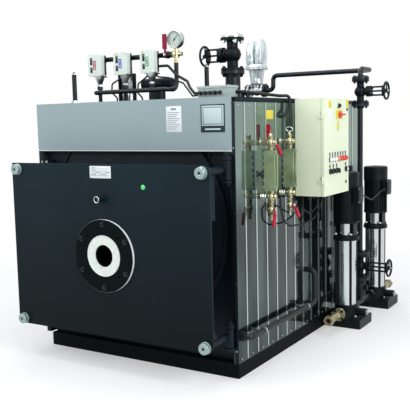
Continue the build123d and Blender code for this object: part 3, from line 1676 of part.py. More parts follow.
# Pump heads: head flange, tie rods with nuts, and the lantern under the motor
with BuildPart() as pump_heads:
    for pump_y in pump_ys:
        with BuildSketch(Plane.XY.offset(pump_head_z)):
            with Locations((pump_x, pump_y)):
                Circle(pump_head_radius)
        extrude(amount=pump_head_thickness)
        with BuildSketch(Plane.XY.offset(bowl_top)):
            with Locations((pump_x, pump_y)):
                with PolarLocations(tie_rod_circle, tie_rod_count, start_angle=180 / tie_rod_count):
                    Circle(tie_rod_radius)
        extrude(amount=pump_head_z - bowl_top)
        with BuildSketch(Plane.XY.offset(pump_head_z + pump_head_thickness)):
            with Locations((pump_x, pump_y)):
                with PolarLocations(tie_rod_circle, tie_rod_count, start_angle=180 / tie_rod_count):
                    Circle(tie_nut_radius)
        extrude(amount=tie_nut_height)
        with BuildSketch(Plane.XY.offset(pump_head_z + pump_head_thickness)):
            with Locations((pump_x - lantern_radius + lantern_web, pump_y)):
                Rectangle(lantern_web, lantern_radius)
            with Locations((pump_x + lantern_radius - lantern_web, pump_y)):
                Rectangle(lantern_web, lantern_radius)
        extrude(amount=lantern_top - pump_head_z - pump_head_thickness)
        with BuildSketch(Plane.XY.offset(lantern_top)):
            with Locations((pump_x, pump_y)):
                Circle(motor_flange_radius)
        extrude(amount=motor_flange_thickness)
pump_heads.part.label = "pump_heads"
export_step(pump_heads.part, "parts/pump_heads.step")

# Coupling guards between the lantern's webs, as a bright sheet round the shaft
guard_bottom = pump_head_z + pump_head_thickness
guard_outer = lantern_radius - 3 * lantern_web / 2 - guard_gap
with BuildPart() as pump_guards:
    for pump_y in pump_ys:
        with BuildSketch(Plane.XY.offset(guard_bottom)):
            with Locations((pump_x, pump_y)):
                Circle(guard_outer)
                Circle(guard_outer - guard_wall, mode=Mode.SUBTRACT)
        extrude(amount=lantern_top - guard_bottom)
pump_guards.part.label = "pump_guards"
export_step(pump_guards.part, "parts/pump_guards.step")

# Motors: finned body, fan cover and terminal box
motor_bottom = lantern_top + motor_flange_thickness
with BuildPart() as pump_motors:
    for pump_y in pump_ys:
        with BuildSketch(Plane.XY.offset(motor_bottom)):
            with Locations((pump_x, pump_y)):
                Circle(motor_radius)
                with PolarLocations(motor_radius, fin_count):
                    Rectangle(2 * fin_height, fin_thickness)
        extrude(amount=motor_top - motor_bottom)
        with BuildSketch(Plane.XY.offset(motor_top)):
            with Locations((pump_x, pump_y)):
                Circle(fan_cover_radius)
        extrude(amount=fan_cover_top - motor_top)
        with BuildSketch(across(pump_x + motor_radius - fin_height)):
            with Locations((pump_y - terminal_shift, terminal_z)):
                Rectangle(terminal_width, terminal_height)
        extrude(amount=terminal_reach + fin_height)
    fillet(pump_motors.edges().group_by(Axis.Z)[-1], fan_cover_fillet)
pump_motors.part.label = "pump_motors"
export_step(pump_motors.part, "parts/pump_motors.step")

# Suction unions, one ahead of the near pump and one behind the far pump
near_face = pump_ys[0] - port_half_length
far_face = pump_ys[1] + port_half_length
union_length = near_face - union_front
with BuildPart() as suction_unions:
    for union_y, union_way in ((near_face, -1), (far_face, 1)):
        union_plane = facing(union_y)
        with BuildSketch(union_plane):
            with Locations((pump_x, port_z)):
                Circle(port_flange_radius - pump_plate_wall)
        extrude(amount=-union_way * port_flange_thickness)
        with BuildSketch(union_plane):
            with Locations((pump_x, port_z)):
                Circle(union_body_radius)
        extrude(amount=-union_way * union_length)
        with BuildSketch(facing(union_y + union_way * (union_length - union_nut_length))):
            with Locations((pump_x, port_z)):
                RegularPolygon(union_nut_radius, 6)
        extrude(amount=-union_way * union_nut_length)
        with BuildSketch(union_plane):
            with Locations((pump_x, port_z)):
                Circle(union_bore_radius)
        extrude(amount=-union_way * (union_length + overrun), mode=Mode.SUBTRACT)
suction_unions.part.label = "suction_unions"
export_step(suction_unions.part, "parts/suction_unions.step")
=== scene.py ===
"""Looks of a packaged steam boiler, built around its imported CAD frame.

Shapes are written in millimetres in the row frame and scaled once, in Piece.done.
"""
import math

import bmesh
import bpy
from mathutils import Matrix, Vector, noise as field


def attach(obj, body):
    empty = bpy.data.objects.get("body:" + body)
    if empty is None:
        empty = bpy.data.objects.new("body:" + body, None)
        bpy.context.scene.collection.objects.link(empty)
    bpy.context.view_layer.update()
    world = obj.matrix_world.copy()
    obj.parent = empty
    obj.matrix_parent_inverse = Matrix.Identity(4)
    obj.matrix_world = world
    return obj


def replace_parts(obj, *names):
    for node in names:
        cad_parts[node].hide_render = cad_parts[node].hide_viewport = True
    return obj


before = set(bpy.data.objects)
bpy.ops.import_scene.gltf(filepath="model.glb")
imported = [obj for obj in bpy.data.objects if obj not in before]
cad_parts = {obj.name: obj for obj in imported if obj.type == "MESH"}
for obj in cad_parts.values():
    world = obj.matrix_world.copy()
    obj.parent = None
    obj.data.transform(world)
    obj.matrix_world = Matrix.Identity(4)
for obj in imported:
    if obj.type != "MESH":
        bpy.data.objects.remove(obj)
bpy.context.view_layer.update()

MM = 0.001
TINY = 1e-6
FOLD = (17, 46)                # size of the film's creases, level and upright
X, Y, Z = Vector((1, 0, 0)), Vector((0, 1, 0)), Vector((0, 0, 1))

# Materials, with heights, depths and edges in metres
MIDDLE = (0.3, 0.7)            # the span in which nearly all values of a noise lie
WHOLE = (0, 1)
DUST, DUST_SLOPE = (0.45, 0.45, 0.43), (0.4, 1)
GRAIN_DEPTH, WAVE_DEPTH = 0.001, 0.004
FOOT_HEIGHTS = (0.25, 1.15)    # the door's paint darkens downwards between these
REFLECTION_HEIGHTS = (0.88, 1.12)   # painted reflection: the polished sheet turns paler upwards between these
# painted reflection: how far the noise moves the pale share of the sheet up or down
REFLECTION_DRIFT = (-0.12, 0.28)
SHEET_METAL = 0.88
# the standing seams' outer faces, beyond this distance from the middle, get a painted highlight
SEAM_HIGHLIGHT_X, SEAM_HIGHLIGHT_EDGE = 0.6903, 0.0004


def new_material(name):
    made = bpy.data.materials.new(name)
    made.use_nodes = True
    tree = made.node_tree
    return made, tree, tree.nodes["Principled BSDF"]


def noise(tree, place, scale, detail=3.0, stretch=(1, 1, 1)):
    """Noise in metres of the row frame, stretched along the axes."""
    mapping = tree.nodes.new("ShaderNodeMapping")
    mapping.inputs["Scale"].default_value = stretch
    tree.links.new(place, mapping.inputs["Vector"])
    made = tree.nodes.new("ShaderNodeTexNoise")
    made.inputs["Scale"].default_value = scale
    made.inputs["Detail"].default_value = detail
    tree.links.new(mapping.outputs["Vector"], made.inputs["Vector"])
    return made.outputs["Fac"]


def remap(tree, value, source, target):
    """Carries a value from one (low, high) span to another and clamps it there."""
    made = tree.nodes.new("ShaderNodeMapRange")
    for socket, number in zip(("From Min", "From Max", "To Min", "To Max"), (*source, *target)):
        made.inputs[socket].default_value = number
    tree.links.new(value, made.inputs["Value"])
    return made.outputs["Result"]


def blend_colour(tree, factor, first, second):
    made = tree.nodes.new("ShaderNodeMix")
    made.data_type = "RGBA"
    tree.links.new(factor, made.inputs["Factor"])
    for socket, colour in ((made.inputs["A"], first), (made.inputs["B"], second)):
        if isinstance(colour, (tuple, list)):
            socket.default_value = (*colour, 1)
        else:
            tree.links.new(colour, socket)
    return made.outputs["Result"]


def split_axes(tree, vector):
    made = tree.nodes.new("ShaderNodeSeparateXYZ")
    tree.links.new(vector, made.inputs["Vector"])
    return made.outputs


def math_node(tree, operation, *values):
    made = tree.nodes.new("ShaderNodeMath")
    made.operation = operation
    for socket, value in zip(made.inputs, values):
        tree.links.new(value, socket)
    return made


def add_bump(tree, shader, height, strength, depth):
    made = tree.nodes.new("ShaderNodeBump")
    made.inputs["Strength"].default_value = strength
    made.inputs["Distance"].default_value = depth
    tree.links.new(height, made.inputs["Height"])
    tree.links.new(made.outputs["Normal"], shader.inputs["Normal"])


def shade(colour, share):
    return tuple(min(1.0, c * share) for c in colour)


def surface(name, colour, rough=0.4, metal=0.0, vary=0.08, vary_scale=5.0, grain=0.0,
            grain_scale=250.0, stretch=(1, 1, 1), rough_vary=0.06, specular=0.5,
            coat=0.0, dust=0.0, foot=None):
    """A painted, cast, moulded or metal surface with its own colour drift, grain and gloss."""
    made, tree, shader = new_material(name)
    place = tree.nodes.new("ShaderNodeTexCoord").outputs["Object"]
    drift = remap(tree, noise(tree, place, vary_scale, 4.0, stretch), MIDDLE, WHOLE)
    tone = blend_colour(tree, drift, shade(colour, 1 - vary), shade(colour, 1 + vary))
    if foot:
        height = split_axes(tree, place)["Z"]
        tone = blend_colour(tree, remap(tree, height, FOOT_HEIGHTS, WHOLE), foot, tone)
    if dust:
        normal = tree.nodes.new("ShaderNodeNewGeometry").outputs["Normal"]
        upward = remap(tree, split_axes(tree, normal)["Z"], DUST_SLOPE, (0, dust))
        tone = blend_colour(tree, upward, tone, DUST)
    tree.links.new(tone, shader.inputs["Base Color"])
    fine = noise(tree, place, grain_scale, 2.0, stretch)
    gloss = remap(tree, fine, MIDDLE, (max(rough - rough_vary, 0.02), rough + rough_vary))
    tree.links.new(gloss, shader.inputs["Roughness"])
    shader.inputs["Metallic"].default_value = metal
    shader.inputs["Specular IOR Level"].default_value = specular
    shader.inputs["Coat Weight"].default_value = coat
    if grain:
        add_bump(tree, shader, fine, grain, GRAIN_DEPTH)
    return made


def sheet_with_painted_reflection(name, low, high, seam_highlight, rough):
    """Mirror-polished sheet, slightly wavy, with painted reflection: darker low down and paler towards its
    top, and a painted highlight on the standing seams.
    """
    made, tree, shader = new_material(name)
    place = tree.nodes.new("ShaderNodeTexCoord").outputs["Object"]
    axes = split_axes(tree, place)
    # painted reflection: paler towards the top, shifted by noise
    reflection_rise = remap(tree, axes["Z"], REFLECTION_HEIGHTS, WHOLE)
    drift = remap(tree, noise(tree, place, 2.2, 3.0, (1, 4, 0.6)), MIDDLE, REFLECTION_DRIFT)
    share = math_node(tree, "ADD", reflection_rise, drift)
    share.use_clamp = True
    tone = blend_colour(tree, share.outputs["Value"], low, high)
    outward = math_node(tree, "ABSOLUTE", axes["X"]).outputs["Value"]
    # painted highlight on the standing seams
    tone = blend_colour(tree, remap(tree, outward, (SEAM_HIGHLIGHT_X, SEAM_HIGHLIGHT_X + SEAM_HIGHLIGHT_EDGE), WHOLE), tone, seam_highlight)
    tree.links.new(tone, shader.inputs["Base Color"])
    shader.inputs["Metallic"].default_value = SHEET_METAL
    brushed = noise(tree, place, 260, 2.0, (1, 1, 0.03))
    gloss = remap(tree, brushed, MIDDLE, (rough * 0.7, rough * 1.3))
    tree.links.new(gloss, shader.inputs["Roughness"])
    add_bump(tree, shader, noise(tree, place, 5.0, 1.0, (1, 1, 0.35)), 0.5, WAVE_DEPTH)
    return made


M = {
    "door": surface(
        "door_paint", (0.0075, 0.018, 0.025), 0.40, vary=0.10, vary_scale=2.5, grain=0.12,
        grain_scale=420, specular=0.09, foot=(0.002, 0.0055, 0.0065)),
    "flange": surface("flange_paint", (0.0018, 0.005, 0.0055), 0.5, grain=0.15, specular=0.04),
    "front": surface("front_paint", (0.0035, 0.009, 0.0145), 0.46, vary=0.15, grain=0.15, specular=0.14),
    "washer": surface("flange_washer", (0.016, 0.024, 0.026), 0.34, vary=0.15, grain=0.15, specular=0.3),
    "header": surface(
        "header_paint", (0.262, 0.345, 0.37), 0.42, vary=0.03, vary_scale=3, grain=0.06,
        grain_scale=500, specular=0.3),
    "skid": surface("skid_paint", (0.0018, 0.004, 0.005), 0.6, vary=0.2, grain=0.2, specular=0.06),
    "black": surface(
        "pipe_paint", (0.005, 0.010, 0.013), 0.36, vary=0.25, vary_scale=18, grain=0.15,
        grain_scale=160, specular=0.26, dust=0.03),
    "cast": surface(
        "cast_paint", (0.0028, 0.006, 0.008), 0.40, vary=0.3, vary_scale=30, grain=0.6,
        grain_scale=220, specular=0.13, dust=0.01),
    "rubber": surface("cable_rubber", (0.004, 0.006, 0.008), 0.5, grain=0.2, specular=0.25),
    # matte near-black for the sleeve inside the burner opening
    "throat_black": surface("throat_matte_black", (0.0015, 0.002, 0.002), 0.9, grain=0.3, specular=0.02),
    "steel": surface(
        "boiler_steel", (0.006, 0.0115, 0.017), 0.6, 0.2, vary=0.3, vary_scale=9, grain=0.3,
        specular=0.2),
    "lining": surface(
        "refractory", (0.60, 0.53, 0.42), 0.9, vary=0.14, vary_scale=14, grain=0.9, grain_scale=90),
    "fibre": surface(
        "ceramic_fibre", (0.68, 0.74, 0.70), 0.95, vary=0.07, vary_scale=40, grain=0.9,
        grain_scale=130, specular=0.1),
    # the side panels' colours are painted reflection: dark low down, pale high up, with a painted highlight
    # on the seams
    "panel": sheet_with_painted_reflection(
        "panel_painted_reflection", (0.027, 0.045, 0.043), (0.205, 0.272, 0.252), (0.52, 0.60, 0.58), 0.07),
    "stainless": surface(
        "polished_stainless", (0.60, 0.64, 0.65), 0.16, 1.0, vary=0.05, grain_scale=500,
        stretch=(1, 1, 0.04), rough_vary=0.05),
    "bright": surface("zinc_bright", (0.50, 0.56, 0.56), 0.26, 1.0, vary=0.16, vary_scale=30, grain=0.1),
    "knob": surface(
        "knob_zinc", (0.30, 0.40, 0.39), 0.36, 0.6, vary=0.12, vary_scale=30, grain=0.15, specular=0.3),
    "brass": surface("brass", (0.46, 0.42, 0.25), 0.26, 1.0, vary=0.28, vary_scale=45, grain=0.12),
    "union": surface("union_brass", (0.34, 0.30, 0.18), 0.42, 0.75, vary=0.3, vary_scale=30, grain=0.2),
    "zinc": surface("yellow_zinc", (0.25, 0.32, 0.18), 0.38, 0.35, vary=0.3, vary_scale=9, grain=0.12),
    "cream": surface(
        "cabinet_paint", (0.64, 0.71, 0.54), 0.42, vary=0.03, vary_scale=4, grain=0.25,
        grain_scale=650, specular=0.3),
    "galvanised": surface("galvanised", (0.36, 0.40, 0.41), 0.38, 0.8, vary=0.2, vary_scale=60, grain=0.1),
    "red": surface(
        "red_sleeve", (0.38, 0.007, 0.03), 0.44, vary=0.2, vary_scale=40, grain=0.25, specular=0.2),
    "crimson": surface(
        "crimson_sleeve", (0.19, 0.005, 0.028), 0.46, vary=0.25, vary_scale=40, grain=0.25,
        specular=0.14),
    "signal_red": surface("signal_red", (0.62, 0.02, 0.01), 0.25, vary=0.05, coat=0.3),
    "orange": surface("signal_orange", (0.76, 0.20, 0.02), 0.25, vary=0.05, coat=0.3),
    "yellow": surface("yellow_label", (0.62, 0.52, 0.04), 0.45, vary=0.05),
    "switch": surface(
        "switch_cover", (0.60, 0.68, 0.64), 0.42, vary=0.03, grain=0.2, grain_scale=500, specular=0.3),
    "white": surface("white_label", (0.68, 0.74, 0.76), 0.4, vary=0.03, specular=0.3),
    "print": surface("label_print", (0.22, 0.27, 0.30), 0.5, vary=0.05, specular=0.2),
    "dial": surface("dial_face", (0.43, 0.51, 0.46), 0.5, vary=0.03),
    "grey": surface("box_grey", (0.34, 0.42, 0.41), 0.4, vary=0.05, grain=0.15, specular=0.3),
    "foil": surface(
        "actuator_white", (0.52, 0.59, 0.61), 0.22, 0.35, vary=0.42, vary_scale=26, grain=1.0,
        grain_scale=34, stretch=(1, 1, 0.35)),
    "green": surface("green_plug", (0.09, 0.62, 0.16), 0.3, vary=0.05),
    "blue": surface("blue_mark", (0.02, 0.04, 0.42), 0.45, vary=0.05),
    "tag_red": surface("red_mark", (0.36, 0.012, 0.04), 0.45, vary=0.05),
    "tag_green": surface("green_mark", (0.01, 0.26, 0.07), 0.45, vary=0.05),
    "dark": surface("dark_window", (0.005, 0.010, 0.010), 0.25, vary=0.1, specular=0.4),
    "plaque": surface("plate_pale", (0.46, 0.58, 0.60), 0.4, vary=0.04, specular=0.2),
    "slate": surface("plate_slate", (0.020, 0.033, 0.038), 0.4, vary=0.05, specular=0.2),
}

NODE_LOOKS = {
    "door": "door_plate",
    "flange": "burner_flange",
    "front": "front_plate hinge_brackets catch_blocks door_arms switch_supports",
    "header": "header_panel",
    "skid": "base_frame top_panel rear_panel",
    "steel": "pressure_shell tube_plates furnace smoke_tubes smoke_box flue_collar",
    "lining": "door_lining",
    "fibre": "burner_fibre_ring",
    "panel": "side_panels",
    "stainless": "pump_sleeves pump_guards outlet_cover",
    "bright": "pressure_gauge",
    "knob": "door_knobs",
    "brass": "gauge_cock level_valves",
    "union": "suction_unions",
    "zinc": "level_gauges",
    "cream": "cabinet_box cabinet_door",
    "galvanised": "mounting_plate control_valve",
    "signal_red": "main_switch",
    "red": "lever_nipple lever_top lever_drain_near lever_drain_far",
    "crimson": "lever_gauge_cock",
    "rubber": "cable_runs",
    "switch": "pressure_switches",
    "foil": "valve_actuator",
    "grey": "junction_box",
    "black": """sight_glass switch_manifold siphon_pipe level_probes steam_nozzle feed_pipework
        feed_run_pipe blowdown_pipe""",
    "cast": """steam_valve feed_valves steam_handwheel feed_handwheel pump_handwheel pump_plates
        pump_bases pump_heads pump_motors""",
}
for look, names in NODE_LOOKS.items():
    for node_name in names.split():
        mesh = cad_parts[node_name].data
        mesh.materials.clear()
        mesh.materials.append(M[look])


# Mesh building
def basis(axis):
    """Right-handed axes whose third one runs along axis."""
    third = Vector(axis).normalized()
    guide = Z if abs(third.z) < 0.9 else Y
    first = guide.cross(third).normalized()
    return first, third.cross(first), third


class Piece:
    """One object, gathered from simple solids in millimetres."""

    def __init__(self, name, look, slot, body="boiler"):
        self.name, self.look, self.slot, self.body = name, look, slot, body
        self.bm = bmesh.new()

    def box(self, low, high, bevel=0.0, turn=None):
        low, high = Vector(low), Vector(high)
        matrix = Matrix.Translation((low + high) / 2)
        if turn:
            matrix = matrix @ turn
        made = bmesh.ops.create_cube(self.bm, size=1, matrix=matrix @ Matrix.Diagonal((*(high - low), 1)))
        if bevel:
            edges = {e for v in made["verts"] for e in v.link_edges}
            bmesh.ops.bevel(self.bm, geom=list(edges), offset=bevel, segments=2, profile=0.5, affect="EDGES")
        return self

    def front_tile(self, face, x, z, ahead, bevel=0.0):
        """A thin plate before a face that looks along -Y. x, z and ahead are (low, high) pairs."""
        return self.box((x[0], face - ahead[1], z[0]), (x[1], face - ahead[0], z[1]), bevel)

    def side_tile(self, face, y, z, ahead, bevel=0.0):
        """The same before a face that looks along X."""
        return self.box((face + ahead[0], y[0], z[0]), (face + ahead[1], y[1], z[1]), bevel)

    def lathe(self, base, axis, profile, sides=28, closed=False):
        """Turns (radius, height) pairs about the axis through base."""
        first, second, third = basis(axis)
        base = Vector(base)
        rings = []
        for radius, height in profile:
            level = base + third * height
            if radius < TINY:
                rings.append([self.bm.verts.new(level)])
                continue
            ring = []
            for i in range(sides):
                a = 2 * math.pi * i / sides
                ring.append(self.bm.verts.new(level + (first * math.cos(a) + second * math.sin(a)) * radius))
            rings.append(ring)
        pairs = list(zip(rings, rings[1:]))
        if closed:
            pairs.append((rings[-1], rings[0]))
        for one, two in pairs:
            for i in range(sides):
                j = (i + 1) % sides
                corners = [one[i % len(one)], one[j % len(one)], two[j % len(two)], two[i % len(two)]]
                corners = list(dict.fromkeys(corners))
                if len(corners) > 2:
                    self.bm.faces.new(corners)
        if not closed:
            for ring, flip in ((rings[0], True), (rings[-1], False)):
                if len(ring) > 2:
                    self.bm.faces.new(list(reversed(ring)) if flip else ring)
        return self

    def rod(self, base, axis, radius, length, sides=24):
        edge = min(radius * 0.12, length * 0.2, 1.5)
        profile = [(radius - edge, 0), (radius, edge), (radius, length - edge), (radius - edge, length)]
        return self.lathe(base, axis, profile, sides)

    def bolt(self, base, axis, across, height):
        """A hexagon head on its washer. across is the size over the corners."""
        lift = height * 0.22
        self.lathe(base, axis, [(across * 0.62, 0), (across * 0.62, lift)], 20)
        start = Vector(base) + Vector(axis).normalized() * lift
        head = [(across / 2, 0), (across / 2, height * 0.82), (across * 0.43, height)]
        return self.lathe(start, axis, head, 6)

    def nut(self, centre, axis, across, length):
        start = Vector(centre) - Vector(axis).normalized() * length / 2
        r, e = across / 2, across * 0.06
        return self.lathe(start, axis, [(r - e, 0), (r, e), (r, length - e), (r - e, length)], 6)

    def torus(self, centre, axis, major, minor, sides=48, section=10):
        turns = [2 * math.pi * i / section for i in range(section)]
        profile = [(major + minor * math.cos(a), minor * math.sin(a)) for a in turns]
        return self.lathe(centre, axis, profile, sides, closed=True)

    def loft(self, centre, half_x, half_y, power, sections, wrinkle=0.0, levels=34, sides=52):
        """An upright rounded form. sections are (z, share of the width) pairs, blended evenly."""
        low, high = sections[0][0], sections[-1][0]
        rings = []
        for level in range(levels + 1):
            z = low + (high - low) * (0.5 - 0.5 * math.cos(math.pi * level / levels))
            for (z_0, share_0), (z_1, share_1) in zip(sections, sections[1:]):
                if z <= z_1 + TINY:
                    share = share_0 + (share_1 - share_0) * (z - z_0) / (z_1 - z_0)
                    break
            ring = []
            for i in range(sides):
                a = 2 * math.pi * i / sides
                c, d = math.cos(a), math.sin(a)
                x = math.copysign(abs(c) ** (2 / power), c) * half_x * share
                y = math.copysign(abs(d) ** (2 / power), d) * half_y * share
                spot = Vector((centre[0] + x, centre[1] + y, z))
                fold = field.noise(Vector((spot.x / FOLD[0], spot.y / FOLD[0], spot.z / FOLD[1])))
                ring.append(self.bm.verts.new(spot + Vector((c, d, 0)) * fold * wrinkle * min(1, share)))
            rings.append(ring)
        for one, two in zip(rings, rings[1:]):
            for i in range(sides):
                j = (i + 1) % sides
                self.bm.faces.new([one[i], one[j], two[j], two[i]])
        self.bm.faces.new(list(reversed(rings[0])))
        self.bm.faces.new(rings[-1])
        return self

    def done(self, sharp=38):
        bmesh.ops.recalc_face_normals(self.bm, faces=self.bm.faces)
        for face in self.bm.faces:
            face.smooth = True
        for edge in self.bm.edges:
            edge.smooth = len(edge.link_faces) == 2 and edge.calc_face_angle(0) < math.radians(sharp)
        bmesh.ops.scale(self.bm, vec=(MM, MM, MM), verts=self.bm.verts)
        mesh = bpy.data.meshes.new(self.name)
        self.bm.to_mesh(mesh)
        self.bm.free()
        mesh.materials.append(M[self.look])
        made = bpy.data.objects.new(self.name, mesh)
        bpy.context.scene.collection.objects.link(made)
        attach(made, self.body)
        return made


def around(centre, axis, radius, count, start=0.0):
    """Points on a circle about an axis."""
    first, second, _ = basis(axis)
    for i in range(count):
        a = start + 2 * math.pi * i / count
        yield Vector(centre) + (first * math.cos(a) + second * math.sin(a)) * radius


EIGHTH_TURN = math.radians(45)

# Screw heads, as (radius, height) pairs
RIVET = [(2.6, 0), (2.2, 1.0), (0, 1.6)]
FAN_SCREW = [(2.6, 0), (2.2, 1.0), (0, 1.4)]
RAIL_SCREW = [(3.6, 0), (3.0, 1.2), (0, 1.8)]
COVER_SCREW = [(4, 0), (3.4, 1.2), (0, 1.6)]
STRIP_SCREW = [(4.2, 0), (3.6, 1.6), (0, 2.4)]
LID_SCREW = [(4.5, 0), (4, 1.4), (0, 2)]
PANEL_SCREW = [(4.6, 0), (4.0, 1.4), (0, 2.2)]

# Burner door
DOOR_FACE, FLANGE_FACE, KNOB_FACE, WINDOW_FACE = -1140, -1155, -1165, -1188
BURNER_Z, SIGHT_Z = 655, 967
ARM_X, ARM_HEIGHTS = 634, (230, 1118)
ARMS = [(x, z) for z in ARM_HEIGHTS for x in (-ARM_X, ARM_X)]
PRINT_AHEAD = (1.5, 2.1)


def on_front_door(name, look, slot="door_slate"):
    return Piece(name, look, slot, "front_door")


on_front_door("flange_machined_rim", "white").lathe(
    (0, DOOR_FACE, BURNER_Z), -Y, [(199, 0.3), (200.6, 0.3), (200.6, 14.4), (199, 14.4)], 96,
    closed=True).done()
washers = on_front_door("flange_washers", "washer")
for spot in around((0, FLANGE_FACE, BURNER_Z), -Y, 174, 6, math.radians(90)):
    washers.lathe(spot, -Y, [(10.5, 0), (15, 0), (15, 2.2), (10.5, 2.2)], 28, closed=True)
    washers.lathe(spot - 8 * Y, -Y, [(8.4, 0), (9.4, 0.9), (6.2, 1.4), (5.4, 0.2)], 24, closed=True)
washers.done()
on_front_door("fibre_rolled_edge", "fibre", "fibre").torus((0, -1151.5, BURNER_Z), -Y, 63.5, 2.4, 64).torus(
    (0, -1152, BURNER_Z), -Y, 111.5, 2.6, 80).done()
# a matte near-black sleeve lines the burner opening
on_front_door("burner_throat", "throat_black", "boiler_steel").lathe(
    (0, -1000, BURNER_Z), -Y, [(59.6, 0), (60.7, 0), (60.7, 146), (59.6, 147)], 64, closed=True).done()
on_front_door("door_data_plate", "white", "off_white").front_tile(
    DOOR_FACE, (-85, 61), (1078, 1144), (-0.1, 1.6), 0.6).done()
table = on_front_door("data_plate_lines", "print", "front_black")
for z in (1128, 1116, 1104, 1092):
    table.front_tile(DOOR_FACE, (-76, 52), (z, z + 1.4), PRINT_AHEAD)
for x in (-44, -6, 26):
    table.front_tile(DOOR_FACE, (x, x + 1.2), (1088, 1118), PRINT_AHEAD)
for x, z in ((-70, 1133), (-68, 1120), (-38, 1109), (0, 1097), (31, 1109), (-70, 1097)):
    table.front_tile(DOOR_FACE, (x, x + 24), (z, z + 3), PRINT_AHEAD)
table.done()
pins = on_front_door("data_plate_rivets", "bright", "bright_steel")
for x in (-80, 56):
    for z in (1083, 1139):
        pins.lathe((x, DOOR_FACE - 1.4, z), -Y, RIVET, 14)
pins.done()
on_front_door("green_plug", "green", "off_white").lathe(
    (272, DOOR_FACE + 0.1, 1037), -Y, [(13, 0), (13, 2.2), (11, 3.4), (5, 5.2), (0, 5.6)], 32).done()
on_front_door("sight_glass_window", "dark", "bright_steel").lathe(
    (0, WINDOW_FACE, SIGHT_Z), -Y, [(11.8, 0), (11.8, 1.5), (6, 2.6), (0, 3)], 28).done()
on_front_door("sight_glass_nut", "cast", "front_black").nut((0, DOOR_FACE - 6, SIGHT_Z), -Y, 40, 11).done()
on_front_door("sight_glass_rim", "bright", "bright_steel").torus(
    (0, WINDOW_FACE - 6.6, SIGHT_Z), -Y, 16.2, 2.8, 40).done()
on_front_door("drum_seal_rope", "fibre", "fibre").torus((0, -888.2, BURNER_Z), -Y, 443.5, 2.6, 120, 8).done()
welds = on_front_door("door_weld_beads", "door")
welds.torus((0, -1127, BURNER_Z), -Y, 448.5, 3.2, 120, 8)
for x, z in ARMS:
    welds.torus((x, -1127.5, z), -Y, 20.5, 2.6, 32, 8)
welds.done()
rings = on_front_door("knob_washers", "knob", "bright_steel")
for x, z in ARMS:
    rings.lathe((x, DOOR_FACE, z), -Y, [(24, 0), (32.5, 0), (32.5, 4), (29.5, 5.5)], 48)
    rings.lathe((x, KNOB_FACE - 1.9, z), -Y, [(8.5, 0), (11, 0), (11, 1.4), (8.5, 0.6)], 28, closed=True)
rings.done()
# near-black discs in the knobs' recesses: painted shade inside the hollows
recess_shade = on_front_door("knob_recess_painted_shade", "dark", "bright_steel")
for x, z in ARMS:
    recess_shade.lathe((x, KNOB_FACE, z), -Y, [(8.4, 0), (8.4, 2.1), (0, 2.1)], 24)
recess_shade.done()

# Casing front
HEADER_FACE, CASING_FACE = -905, -900
RULES_AHEAD, FIELD_AHEAD, FRAME_AHEAD = (1.2, 1.7), (2.0, 2.9), (2.7, 3.6)
PIN_X, PIN_Y = 655, -930

# a pale strip along the header's lower lip: a painted highlight where the fold's edge catches the light
Piece("header_lip_painted_highlight", "switch", "header_grey").front_tile(
    HEADER_FACE, (-688, 671), (1213, 1217.5), (-0.2, 1.6), 0.4).done()
Piece("header_blank_plate", "white", "off_white").front_tile(
    HEADER_FACE, (267, 366), (1316, 1455), (-0.2, 1.3), 0.4).done()
rules = Piece("header_plate_print", "print", "front_black")
rules.front_tile(HEADER_FACE, (300, 334), (1434, 1444), RULES_AHEAD)
for row in range(9):
    z = 1420 - 11 * row
    rules.front_tile(HEADER_FACE, (277, 356 - 13 * (row % 3)), (z, z + 3), RULES_AHEAD)
rules.done()
Piece("header_plate_border", "slate", "front_black").front_tile(
    HEADER_FACE, (489, 635), (1313, 1458), (-0.2, 2.2), 0.8).done()
Piece("header_plate_field", "plaque", "off_white").front_tile(
    HEADER_FACE, (496, 628), (1347, 1451), FIELD_AHEAD, 0.3).done()
rim = Piece("header_plate_rim", "slate", "front_black")
for x in ((503, 506), (618, 621)):
    rim.front_tile(HEADER_FACE, x, (1354, 1444), FRAME_AHEAD)
for z in ((1354, 1357), (1441, 1444)):
    rim.front_tile(HEADER_FACE, (506, 618), z, FRAME_AHEAD)
rim.done()
Piece("header_plate_bar", "plaque", "off_white").front_tile(
    HEADER_FACE, (515, 609), (1325, 1333), FIELD_AHEAD, 0.3).done()
strips = Piece("corner_strips", "front", "front_black")
for x in ((672.5, 690.6), (-690.6, -660)):
    strips.front_tile(CASING_FACE, x, (82, 1466), (-0.4, 2.5), 0.6)
strips.done()
studs = Piece("corner_screws", "bright", "bright_steel")
for z in (150, 520, 890, 1230):
    studs.lathe((681, CASING_FACE - 2.3, z), -Y, STRIP_SCREW, 16)
studs.done()
caps = Piece("hinge_pin_caps", "cast", "front_black")
for z in (309.5, 1197.5):
    caps.lathe((PIN_X, PIN_Y, z), Z, [(14.5, 0), (15.5, 2), (15.5, 7), (11, 11), (0, 12)], 32)
for z in (156.5, 1044.5):
    caps.nut((PIN_X, PIN_Y, z), Z, 36, 11)
caps.done()
catch = Piece("catch_screws", "bright", "bright_steel")
for z in ARM_HEIGHTS:
    for dx in (-18, 18):
        for dz in (-30, 30):
            catch.bolt((-ARM_X + dx, -915, z + dz), -Y, 11, 5)
catch.done()
ring_bolts = Piece("front_plate_bolts", "front", "front_black")
for spot in around((0, -855, 800), -Y, 640, 24, math.radians(7.5)):
    if abs(spot.x) < 648 and 95 < spot.z < 1205:
        ring_bolts.bolt(spot, -Y, 18, 8)
ring_bolts.done()

# Side panels
SIDE_FACE = 690
PANEL_PITCH = 122.5
PANEL_MIDDLES = [-862, *(-740 + PANEL_PITCH * i for i in range(14)), 978]

